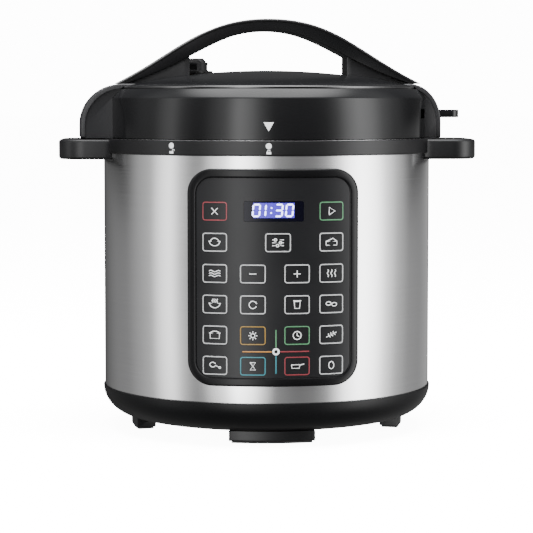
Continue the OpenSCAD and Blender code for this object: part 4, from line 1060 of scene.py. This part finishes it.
def spring(node, across, turns, axis):
    """A coil that fills a CAD spring's box; across is the wire's thickness."""
    low, high = box_mm(node)
    size = high - low
    width = size[(axis + 1) % 3]
    made = grown(node + "_coil", points_object(node + "_point", [(0, 0, 0)]), springs,
                 Coil_radius=(width - across) / 2 * MM, Wire_radius=across / 2 * MM * 0.98,
                 Turns=float(turns), Rise=(size[axis] - across * 1.1) * MM)
    mid = (low + high) / 2
    if axis == 1:
        made.data.transform(Matrix.Rotation(radians(-90), 4, "X"))
        start = Vector((mid.x, low.y + across * 0.55, mid.z))
    else:
        start = Vector((mid.x, mid.y, low.z + across * 0.55))
    made.data.transform(Matrix.Translation(start * MM))
    return fit_out(made, spring_steel, BODY_OF[node], [node], 60)


sensor_coil = spring("sensor_spring", 1.6, 6, 2)
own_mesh(sensor_coil)
spring("lever_spring", 1.0, 5, 2)
dressed("interlock_spring", spring_steel, 0, 60)

# %% Metal, boards and brackets
for node, finish, edge in (
        ("chassis_plate", zinc_sheet, 0.3), ("standoffs", screw_zinc, 0.3),
        ("liner_pot", dull_aluminium, 0.0), ("thermal_fuse", ceramic, 0.3),
        ("spring_dish", pressed_steel, 0.0), ("heating_element", element_steel, 0.0),
        ("pressure_switch", satin_black, 0.4), ("sensor_sleeve", ceramic, 0.3),
        ("sensor_cap", dull_aluminium, 0.4), ("display_module", satin_black, 0.3),
        ("control_board", board_green, 0.12), ("board_components", part_mix, 0.3),
        ("power_board", tan_board, 0.12), ("power_components", part_mix, 0.5),
        ("inlet_socket", satin_black, 0.4), ("inlet_pins", brass, 0.35),
        ("inner_wiring", lead_skin, 0.0), ("drip_spout", satin_black, 0.25),
        ("cup_bracket", satin_black, 0.4), ("drip_cup", cup_clear, 0.4)):
    dressed(node, finish, edge)

# %% [markdown]
# ## Control panel
# The panel follows the drum's curve. Its frame is swept: one small section, given as
# insets from the outline and radii from the drum's axis, is carried round a rounded
# rectangle. The skin and the display's window are cut from thin curved plates.

# %% Panel frame
SKIN_R = PANEL_R - 0.7


def curved(x, z, radius):
    """A point of the panel's front view, laid on a cylinder round Z."""
    return Vector((x, -sqrt(radius * radius - x * x), z)) * MM


def panel_outline(inset, along=36, round_steps=12):
    """The panel's rounded outline, with its straight sides divided so that it can curve."""
    corners = rounded_box(PANEL_W - 2 * inset, PANEL_H - 2 * inset, max(19 - inset, 2),
                          (0, PANEL_MID), round_steps)
    made = []
    size = round_steps + 1
    for k in range(4):
        arc = corners[k * size:(k + 1) * size]
        made += arc
        (x0, z0), (x1, z1) = arc[-1], corners[(k + 1) * size % len(corners)]
        made += [(x0 + (x1 - x0) * t / along, z0 + (z1 - z0) * t / along) for t in range(1, along)]
    return made


def framed(name, section):
    bm = bmesh.new()
    rings = [[bm.verts.new(curved(x, z, radius)) for x, z in panel_outline(inset)]
             for inset, radius in section]
    count = len(rings[0])
    for k, ring in enumerate(rings):
        other = rings[(k + 1) % len(rings)]
        for i in range(count):
            j = (i + 1) % count
            bm.faces.new((ring[i], ring[j], other[j], other[i]))
    return from_bmesh(name, bm)


def curved_plate(name, inner, outer, low, high, half_arc, steps=96):
    return turned(name, [(inner, low), (outer, low), (outer, high), (inner, high)], steps,
                  -90 - half_arc, 2 * half_arc)


panel_frame = framed("panel_frame", [
    (0, SHELL_R + 0.2), (0, PANEL_R - 1.5), (0.25, PANEL_R - 0.75), (0.8, PANEL_R - 0.2),
    (1.5, PANEL_R), (5.2, PANEL_R), (6.0, PANEL_R - 0.15), (6.6, PANEL_R - 0.55), (6.8, PANEL_R - 1.0),
    (6.8, PANEL_R - 1.55), (9.5, PANEL_R - 1.55), (9.5, SHELL_R + 0.2)])
back_plate = curved_plate("back_plate", SHELL_R + 0.3, PANEL_R - 1.56,
                          PANEL_LOW + 7.2, PANEL_HIGH - 7.2, 25.4)
carve(back_plate, slab("display_hole", rounded_box(48, 17.4, 2, (0, DISPLAY_Z)), 100, 180, UPRIGHT))
posts = joined("posts", *[slab("post", rounded_box(6.4, 6.4, 3.19, place, 8),
                               -board_low.y, sqrt(PANEL_R ** 2 - 45 ** 2) - 3, UPRIGHT)
                          for place in POSTS])
carve(panel_frame, back_plate, posts, way="UNION")
fit_out(panel_frame, frame_gloss, "root", ["panel_bezel"], 30)

panel_skin = curved_plate("panel_skin", PANEL_R - 1.5, SKIN_R, PANEL_LOW + 6, PANEL_HIGH - 6, 28, 120)
carve(panel_skin, slab("skin_edge", rounded_box(PANEL_W - 14, PANEL_H - 14, 12, (0, PANEL_MID), 10),
                       100, 180, UPRIGHT), way="INTERSECT")
carve(panel_skin, slab("display_cut", rounded_box(46.4, 15.8, 1.2, (0, DISPLAY_Z)), 100, 180, UPRIGHT))
fit_out(panel_skin, panel_face, "root", ["panel_overlay"], 30)
display_glass = curved_plate("display_glass", PANEL_R - 2.5, SKIN_R,
                             DISPLAY_Z - 12, DISPLAY_Z + 12, 12, 48)
carve(display_glass, slab("glass_edge", rounded_box(46, 15.4, 1, (0, DISPLAY_Z)), 100, 180, UPRIGHT),
      way="INTERSECT")
fit_out(display_glass, glass_dark, "root", ["display_window"], 30)

# %% [markdown]
# ## Printed keys
# The keys are printed on the skin: a thin outline for each, with a small sign in it.
# One Geometry Nodes tree draws the outline curve, gives it a thin body, flattens it to
# a film of ink, puts a copy at every key and bends the lot on to the panel's curve.
# A second tree does the same to any drawn line, and makes the signs.

# %% Ink trees
def inked(tree, curve, enter):
    """A flat line of ink along a curve that lies in X and Y."""
    dot = tree.nodes.new("GeometryNodeCurvePrimitiveCircle")
    dot.inputs["Resolution"].default_value = 8
    tree.links.new(node_math(tree, "MULTIPLY", enter.outputs["Line width"], 0.5), dot.inputs["Radius"])
    line = tree.nodes.new("GeometryNodeCurveToMesh")
    line.inputs["Fill Caps"].default_value = True
    tree.links.new(curve, line.inputs["Curve"])
    tree.links.new(dot.outputs["Curve"], line.inputs["Profile Curve"])
    flat = tree.nodes.new("GeometryNodeTransform")
    flat.inputs["Scale"].default_value = (1, 1, 0.16)
    tree.links.new(line.outputs["Mesh"], flat.inputs["Geometry"])
    return flat.outputs["Geometry"]


def bent(tree, shape, enter):
    """Bends flat ink in X and Y round the Z axis: X runs along the arc and Y becomes height."""
    where = tree.nodes.new("GeometryNodeInputPosition")
    parts = tree.nodes.new("ShaderNodeSeparateXYZ")
    tree.links.new(where.outputs["Position"], parts.inputs["Vector"])
    radius = enter.outputs["Surface radius"]
    angle = node_math(tree, "DIVIDE", parts.outputs["X"], radius)
    out_r = node_math(tree, "ADD", radius, parts.outputs["Z"])
    there = tree.nodes.new("ShaderNodeCombineXYZ")
    tree.links.new(node_math(tree, "MULTIPLY", out_r, node_math(tree, "SINE", angle)), there.inputs["X"])
    tree.links.new(node_math(tree, "MULTIPLY", node_math(tree, "MULTIPLY", out_r,
                                                         node_math(tree, "COSINE", angle)), -1),
                   there.inputs["Y"])
    tree.links.new(parts.outputs["Y"], there.inputs["Z"])
    real = tree.nodes.new("GeometryNodeRealizeInstances")
    tree.links.new(shape, real.inputs["Geometry"])
    move = tree.nodes.new("GeometryNodeSetPosition")
    tree.links.new(real.outputs["Geometry"], move.inputs["Geometry"])
    tree.links.new(there.outputs["Vector"], move.inputs["Position"])
    return move.outputs["Geometry"]


def key_tree(finish):
    tree, enter, leave = fresh_tree("key_outlines", ("Key width", 0.0204), ("Key height", 0.0145),
                                    ("Corner radius", 0.0016), ("Line width", 0.0008),
                                    ("Surface radius", 0.14))
    edge = tree.nodes.new("GeometryNodeCurvePrimitiveQuadrilateral")
    tree.links.new(enter.outputs["Key width"], edge.inputs["Width"])
    tree.links.new(enter.outputs["Key height"], edge.inputs["Height"])
    corner = tree.nodes.new("GeometryNodeFilletCurve")
    corner.mode = "POLY"
    corner.inputs["Count"].default_value = 5
    tree.links.new(edge.outputs["Curve"], corner.inputs["Curve"])
    tree.links.new(enter.outputs["Corner radius"], corner.inputs["Radius"])
    even = tree.nodes.new("GeometryNodeResampleCurve")
    even.inputs["Count"].default_value = 64
    tree.links.new(corner.outputs["Curve"], even.inputs["Curve"])
    copies = tree.nodes.new("GeometryNodeInstanceOnPoints")
    tree.links.new(enter.outputs["Geometry"], copies.inputs["Points"])
    tree.links.new(inked(tree, even.outputs["Curve"], enter), copies.inputs["Instance"])
    close_tree(tree, bent(tree, copies.outputs["Instances"], enter), finish, leave)
    return tree


def line_tree(finish):
    tree, enter, leave = fresh_tree("ink_lines", ("Line width", 0.0005), ("Surface radius", 0.14))
    curve = tree.nodes.new("GeometryNodeMeshToCurve")
    tree.links.new(enter.outputs["Geometry"], curve.inputs["Mesh"])
    close_tree(tree, bent(tree, inked(tree, curve.outputs["Curve"], enter), enter), finish, leave)
    return tree


def drawn(name, strokes, finish, width, radius, body):
    """Ink lines on a cylinder, from strokes of (along the arc, height) points."""
    points, edges = [], []
    for stroke in strokes:
        start = len(points)
        points += [Vector((x, z, 0)) * MM for x, z in stroke]
        edges += [(start + k, start + k + 1) for k in range(len(stroke) - 1)]
    mesh = bpy.data.meshes.new(name)
    mesh.from_pydata(points, edges, [])
    made = grown(name, new_object(name + "_lines", mesh), line_tree(finish),
                 Line_width=width * MM, Surface_radius=radius * MM)
    return fit_out(made, finish, body, (), 60)


def filled(name, shapes, finish, radius, body, depth=0.08):
    """Solid ink shapes on a cylinder, each an outline of (along the arc, height) points."""
    bm = bmesh.new()
    for shape in shapes:
        rings = [[bm.verts.new(Vector((r * sin(x / r), -r * cos(x / r), z)) * MM) for x, z in shape]
                 for r in (radius, radius + depth)]
        count = len(shape)
        for i in range(count):
            j = (i + 1) % count
            bm.faces.new((rings[0][i], rings[0][j], rings[1][j], rings[1][i]))
        bm.faces.new(list(reversed(rings[0])))
        bm.faces.new(rings[1])
    return fit_out(from_bmesh(name, bm), finish, body, (), 60)


# %% Key outlines
KEY_R = SKIN_R + 0.02
COLUMNS = (-46.4, -16.3, 18.1, 45.8)
ROW_PITCH = 24.1
ROWS = [DISPLAY_Z + 0.2 - ROW_PITCH * k + offset
        for k, offset in enumerate((-0.3, -0.2, -0.3, -0.1, 0.1, 0.4))]
MIDDLE_KEY = 3.2
white_keys = [(COLUMNS[c], ROWS[r]) for c in (0, 3) for r in (1, 2, 3, 4, 5)]
white_keys += [(MIDDLE_KEY, ROWS[1])] + [(x, ROWS[r]) for x in COLUMNS[1:3] for r in (2, 3)]
coloured_keys = (("white", ink_pale, white_keys),
                 ("red", ink_red, [(COLUMNS[0], ROWS[0]), (COLUMNS[2], ROWS[5])]),
                 ("green", ink_green, [(COLUMNS[3], ROWS[0]), (COLUMNS[2], ROWS[4])]),
                 ("yellow", ink_yellow, [(COLUMNS[1], ROWS[4])]),
                 ("teal", ink_teal, [(COLUMNS[1], ROWS[5])]))
for label, ink, places in coloured_keys:
    made = grown("keys_" + label, points_object("key_points", [(x, z, 0) for x, z in places]),
                 key_tree(ink), Key_width=0.0191, Key_height=0.0137, Corner_radius=0.0016,
                 Line_width=0.0008, Surface_radius=KEY_R * MM)
    fit_out(made, ink, "root", (), 60)
print("keys", sum(len(places) for label, ink, places in coloured_keys))

# %% [markdown]
# Words on the keys would tie the part to one maker, so every key has a plain drawn
# sign instead: a bowl, a clock, a sun, a pan. Each sign is a few strokes.

# %% Key signs
def bow(x, z, rx, rz, start, end, steps=14):
    """An arc of an ellipse between two angles."""
    return [(x + rx * cos(radians(start + (end - start) * k / steps)),
             z + rz * sin(radians(start + (end - start) * k / steps))) for k in range(steps + 1)]


def wave(x, z, length, upright=False):
    """A wavy stroke, lying or upright."""
    line = [(0.45 * sin(2 * pi * k / 8), length * (k / 12 - 0.5)) for k in range(13)]
    return [(x + a, z + b) if upright else (x + b, z + a) for a, b in line]


bowl_sign = [bow(0, 0.6, 3.4, 2.8, 180, 360), [(-3.9, 0.6), (3.9, 0.6)]]
steam = [wave(x, 2.2, 2.2, True) for x in (-1.4, 0, 1.4)]
pan = [[(-3.6, 0.8), (-3.2, -1.4), (1.4, -1.4), (1.8, 0.8), (-3.6, 0.8)], [(1.8, 0.6), (4.4, 1.2)]]
SIGNS = {
    (0, 0): [[(-2, -2), (2, 2)], [(-2, 2), (2, -2)]],
    (3, 0): [[(-1.6, -2.3), (2.4, 0), (-1.6, 2.3), (-1.6, -2.3)]],
    (0, 1): bowl_sign + [bow(0, 0.6, 2.6, 1.9, 0, 180)],
    ("m", 1): [[(-3.6, z), (3.6, z)] for z in (-1.8, 0, 1.8)]
    + [bow(x, z, 0.8, 0.8, 0, 360) for x, z in ((-1.6, 1.8), (1.5, 0), (-0.4, -1.8))],
    (3, 1): [[(-3.6, -2), (3.6, -2), (3.6, 0.4), (-3.6, 0.4), (-3.6, -2)],
             [(-3.6, 0.4), (1, 2.3), (3.6, 0.4)]],
    (0, 2): [wave(0, z, 7.4) for z in (-1.5, 0, 1.5)],
    (1, 2): [[(-2.2, 0), (2.2, 0)]],
    (2, 2): [[(-2.2, 0), (2.2, 0)], [(0, -2.2), (0, 2.2)]],
    (3, 2): [wave(x, 0, 4.6, True) for x in (-2.4, 0, 2.4)],
    (0, 3): bowl_sign + steam,
    (1, 3): [bow(0, 0, 2.3, 2.3, 40, 340), [(2.3, 1.9), (1.7, 1.3), (2.6, 0.6)]],
    (2, 3): [[(-1.9, 2), (-1.5, -2.3), (1.5, -2.3), (1.9, 2), (-1.9, 2)], [(-2.5, 2.5), (2.5, 2.5)]],
    (3, 3): [bow(-1.9, 0.3, 1.7, 1.1, 0, 360), bow(1.9, -0.3, 1.7, 1.1, 0, 360)],
    (0, 4): [[(-3, 1.2), (-3, -2.2), (3, -2.2), (3, 1.2)], [(-3.7, 1.2), (3.7, 1.2)],
             bow(0, 1.2, 2.7, 1.2, 0, 180)],
    (1, 4): [bow(0, 0, 1.3, 1.3, 0, 360)] + [[(1.9 * cos(a), 1.9 * sin(a)), (2.8 * cos(a), 2.8 * sin(a))]
                                            for a in (k * pi / 4 for k in range(8))],
    (2, 4): [bow(0, 0, 2.5, 2.5, 0, 360, 20), [(0, 1.6), (0, 0), (1.2, -0.7)]],
    (3, 4): [[(-3.4, -1.6), (3.4, 1.4)]]
    + [[(x, x * 0.44), (x - 0.2, x * 0.44 + 1.5)] for x in (-1.8, -0.2, 1.4)]
    + [[(x, x * 0.44), (x + 1.3, x * 0.44 - 0.9)] for x in (-1.8, -0.2, 1.4)],
    (0, 5): [bow(-1.4, 0.5, 1.9, 1.5, 20, 340), [(0.4, 0.1), (2.7, -1.0)],
             bow(3.2, -1.2, 0.6, 0.6, 0, 360, 8)],
    (1, 5): [[(-1.7, 2.3), (1.7, 2.3), (-1.7, -2.3), (1.7, -2.3), (-1.7, 2.3)]],
    (2, 5): pan,
    (3, 5): [bow(0, -0.1, 1.7, 2.3, 0, 360, 18)],
}
SIGN_SCALE = 1.25
strokes = []
for (column, row), sign in SIGNS.items():
    x0 = MIDDLE_KEY if column == "m" else COLUMNS[column]
    strokes += [[(x0 + SIGN_SCALE * x, ROWS[row] + SIGN_SCALE * z) for x, z in stroke] for stroke in sign]
drawn("key_signs", strokes, ink_white, 0.62, KEY_R, "root")
print("signs", len(SIGNS), "strokes", len(strokes))

# %% Cross of lines between the lower keys
CROSS = (1.6, (ROWS[4] + ROWS[5]) / 2 - 0.6)
for label, ink, far in (("left", ink_orange, (-26, 0)), ("right", ink_red, (26, 0)),
                        ("up", ink_green, (0, 17)), ("down", ink_teal, (0, -17))):
    size = abs(far[0] + far[1])
    near = (far[0] / size * 3.4, far[1] / size * 3.4)
    drawn("cross_" + label, [[(CROSS[0] + near[0] + (far[0] - near[0]) * k / 8,
                               CROSS[1] + near[1] + (far[1] - near[1]) * k / 8) for k in range(9)]],
          ink, 0.9, KEY_R, "root")
drawn("cross_ring", [bow(CROSS[0], CROSS[1], 2.1, 2.1, 0, 360, 28)], ink_white, 1.5, KEY_R,
      "root")

# %% [markdown]
# ## Display
# The figures are seven-segment digits, leaned a little to the right. Each segment is a
# six-sided bar, and a digit is some of the seven. A faintly glowing plate lies behind them.

# %% Figures
SEGMENTS = {"0": "abcdef", "1": "bc", "3": "abcdg"}
BARS = {"a": ((-1, 2), (1, 2)), "b": ((1, 2), (1, 0)), "c": ((1, 0), (1, -2)), "d": ((-1, -2), (1, -2)),
        "e": ((-1, 0), (-1, -2)), "f": ((-1, 2), (-1, 0)), "g": ((-1, 0), (1, 0))}


FIGURE_Z = DISPLAY_Z + 0.8
HALF_W, HALF_H, BAR_T = 2.6, 4.5, 1.3
LEAN = 0.09


def segment(start, end, middle_x):
    """One bar of a figure: six points, with a small gap left at both ends."""
    a = Vector((start[0] * HALF_W, start[1] * HALF_H / 2))
    b = Vector((end[0] * HALF_W, end[1] * HALF_H / 2))
    way = (b - a).normalized()
    side = Vector((-way.y, way.x)) * BAR_T / 2
    a, b = a + way * 0.18, b - way * 0.18
    ring = [a, a + way * BAR_T / 2 + side, b - way * BAR_T / 2 + side, b, b - way * BAR_T / 2 - side,
            a + way * BAR_T / 2 - side]
    return [(middle_x + p.x + p.y * LEAN, FIGURE_Z + p.y) for p in ring]


bars = []
for figure, x in zip("0130", (-13.5, -9.0, 3.9, 12.1)):
    bars += [segment(*BARS[s], x) for s in SEGMENTS[figure]]
for z in (-1.9, 1.9):
    bars.append([(-2.0 + z * LEAN + 0.65 * cos(a), FIGURE_Z + z + 0.65 * sin(a))
                 for a in (k * pi / 4 for k in range(8))])
HAZE_ARC = 6.5
haze = curved_plate("display_haze", SKIN_R - 0.4, SKIN_R + 0.01,
                    FIGURE_Z - 5.8, FIGURE_Z + 5.8, HAZE_ARC, 32)
fit_out(haze, haze_glow, "root", (), 30)
filled("display_figures", bars, digit_glow, SKIN_R + 0.02, "root")

# %% [markdown]
# ## Marks for opening and closing
# A white arrowhead on the lid points at one of two dots on the collar. Below each dot
# is a small padlock, shut or open, in place of a word.

# %% Arrow, dots and padlocks
MARK_TURN = -1.6
OPEN_TURN = MARK_TURN - 33.5


def along(radius, angle):
    """How far round a cylinder an angle in degrees is."""
    return radius * radians(angle)


arrow_x = along(COVER_R, MARK_TURN)
ARROW_TIP = LID_Z + 7.1
filled("lid_arrow", [[(arrow_x - 4, ARROW_TIP + 7), (arrow_x, ARROW_TIP), (arrow_x + 4, ARROW_TIP + 7)]],
       ink_white, COVER_R + 0.02, "lid", 0.06)
dots, locks = [], []
DOT_R, DOT_Z = 2.3, COLLAR_Z - 3.9
z0 = COLLAR_Z - 9.1
for turn in (MARK_TURN, OPEN_TURN):
    x0 = along(COLLAR_R, turn)
    dots.append([(x0 + DOT_R * cos(pi * j / 12), DOT_Z + DOT_R * sin(pi * j / 12)) for j in range(24)])
    dots.append([(x0 - 1.8, z0 - 1), (x0 + 1.8, z0 - 1), (x0 + 1.8, z0 + 0.8), (x0 - 1.8, z0 + 0.8)])
    hinge = x0 + (1.9 if turn == OPEN_TURN else 0)
    locks.append([(hinge - 0.95, z0 + 0.7)] + bow(hinge, z0 + 1.3, 0.95, 0.95, 180, 0, 10)
                 + [(hinge + 0.95, z0 + 1.1)])
filled("collar_dots", dots, ink_white, COLLAR_R + 0.02, "root", 0.06)
drawn("collar_locks", locks, ink_white, 0.5, COLLAR_R + 0.03, "root")

# %% [markdown]
# ## Floor, light and camera
# A plain pale floor and soft studio light. The steel needs something to reflect, so the
# world is a ring of soft bright and grey panels; they also fill the shadows. A big
# softbox overhead gives the gentle shadow under the base, and a small one fills the front.

# %% Stage
floor = slab("floor", rounded_box(60000, 60000, 10, (0, 0), 2), -40, -0.2)
floor_paint, _, floor_shader = finish_tree("floor_paint", (0.9, 0.9, 0.9), 0.9)
floor_shader.inputs["Emission Color"].default_value = (1, 1, 1, 1)
floor_shader.inputs["Emission Strength"].default_value = 11.5
floor.data.materials.append(floor_paint)
floor.visible_glossy = False
floor.visible_diffuse = False

world = bpy.data.worlds.new("studio")
bpy.context.scene.world = world
world.use_nodes = True
sky = world.node_tree
sky.nodes.clear()


def sky_math(operation, *values):
    return node_math(sky, operation, *values)


CAMERA_TURN = 2.35
direction = sky.nodes.new("ShaderNodeTexCoord")
axes = sky.nodes.new("ShaderNodeSeparateXYZ")
sky.links.new(direction.outputs["Generated"], axes.inputs["Vector"])
toward = sky_math("MULTIPLY", axes.outputs["Y"], -1)
bearing = sky_math("DEGREES", sky_math("ARCTAN2", axes.outputs["X"], toward))
share = sky_math("DIVIDE", sky_math("ADD", bearing, 180 + CAMERA_TURN), 360)
panels = sky.nodes.new("ShaderNodeValToRGB")
# bearing in degrees, to the right of the camera, and how bright the panel there is
PANELS = [(-180, 0.03), (-164, 0.06), (-133, 0.17), (-115, 0.19), (-100, 0.32), (-88, 0.45), (-77, 1.5),
          (-71, 1.85), (-63, 0.7), (-54, 0.28), (-46, 0.28), (-38, 0.9), (-29, 1.6), (-20, 4.6), (-11, 3.1),
          (-4, 1.25), (5, 0.22), (22, 0.13), (34, 0.16), (44, 0.32), (52, 1.15), (61, 3.5), (70, 5.0),
          (80, 3.8), (92, 1.3), (104, 0.5), (119, 0.26), (138, 0.22), (160, 0.3), (180, 0.03)]
BRIGHTEST = 5.0
stops = panels.color_ramp.elements
for k, (angle, level) in enumerate(PANELS):
    place = (angle + 180) / 360
    # a new ramp already has its first and last stops
    ends = {0: 0, len(PANELS) - 1: -1}
    stop = stops[ends[k]] if k in ends else stops.new(place)
    stop.position = place
    stop.color = (*[level / BRIGHTEST] * 3, 1)
sky.links.new(share, panels.inputs["Fac"])
panel_glow = sky_math("MULTIPLY", panels.outputs["Color"], BRIGHTEST)


def fade(value, start, end):
    """0 before start and 1 after end, with a soft step between."""
    node = sky.nodes.new("ShaderNodeMapRange")
    node.interpolation_type = "SMOOTHSTEP"
    node.inputs["From Min"].default_value = start
    node.inputs["From Max"].default_value = end
    sky.links.new(value, node.inputs["Value"])
    return node.outputs["Result"]


def blended(low, high, factor):
    """The first value where the factor is 0 and the second where it is 1."""
    return sky_math("ADD", sky_math("MULTIPLY", low, sky_math("SUBTRACT", 1, factor)),
                    sky_math("MULTIPLY", high, factor))


overhead = fade(axes.outputs["Z"], 0.35, 0.7)
below = fade(sky_math("MULTIPLY", axes.outputs["Z"], -1), 0.3, 0.7)
behind = sky_math("MULTIPLY", fade(axes.outputs["Y"], 0.2, 0.6), fade(axes.outputs["Z"], 0.0, 0.08))
studio = blended(panel_glow, 0.55, overhead)
studio = blended(studio, 0.2, below)
studio = blended(studio, 0.05, behind)
studio = blended(studio, 5.5, fade(axes.outputs["Z"], 0.8, 0.97))
ray = sky.nodes.new("ShaderNodeLightPath")
seen = sky.nodes.new("ShaderNodeMix")
seen.data_type = "FLOAT"
sky.links.new(ray.outputs["Is Camera Ray"], seen.inputs["Factor"])
sky.links.new(sky_math("MULTIPLY", studio, 1.5), seen.inputs["A"])
seen.inputs["B"].default_value = 14.0
glow = sky.nodes.new("ShaderNodeBackground")
glow.inputs["Color"].default_value = (1, 1, 1, 1)
sky.links.new(seen.outputs["Result"], glow.inputs["Strength"])
out = sky.nodes.new("ShaderNodeOutputWorld")
sky.links.new(glow.outputs["Background"], out.inputs["Surface"])


def softbox(name, place, aim, width, height, power):
    """A rectangular light, in metres and watts, that no mirror-like finish shows."""
    light = bpy.data.lights.new(name, "AREA")
    light.shape = "RECTANGLE"
    light.size, light.size_y = width, height
    light.energy = power
    made = new_object(name, light)
    made.location = place
    made.rotation_euler = (Vector(aim) - Vector(place)).to_track_quat("-Z", "Y").to_euler()
    made.visible_glossy = False
    return made


softbox("softbox_top", (0.1, -0.2, 1.9), (0, 0, 0.15), 1.6, 1.3, 190)
softbox("softbox_front", (-0.9, -1.9, 1.3), (0, 0, 0.2), 0.9, 0.9, 12)

camera = new_object("camera", bpy.data.cameras.new("camera"))
camera.data.lens = 145.1
camera.data.sensor_width = 36
camera.location = (-0.073, -1.789, 0.272)
camera.rotation_euler = (Vector((0, 0, 0.1316)) - camera.location).to_track_quat("-Z", "Y").to_euler()
camera.data.clip_end = 60
bpy.context.scene.camera = camera
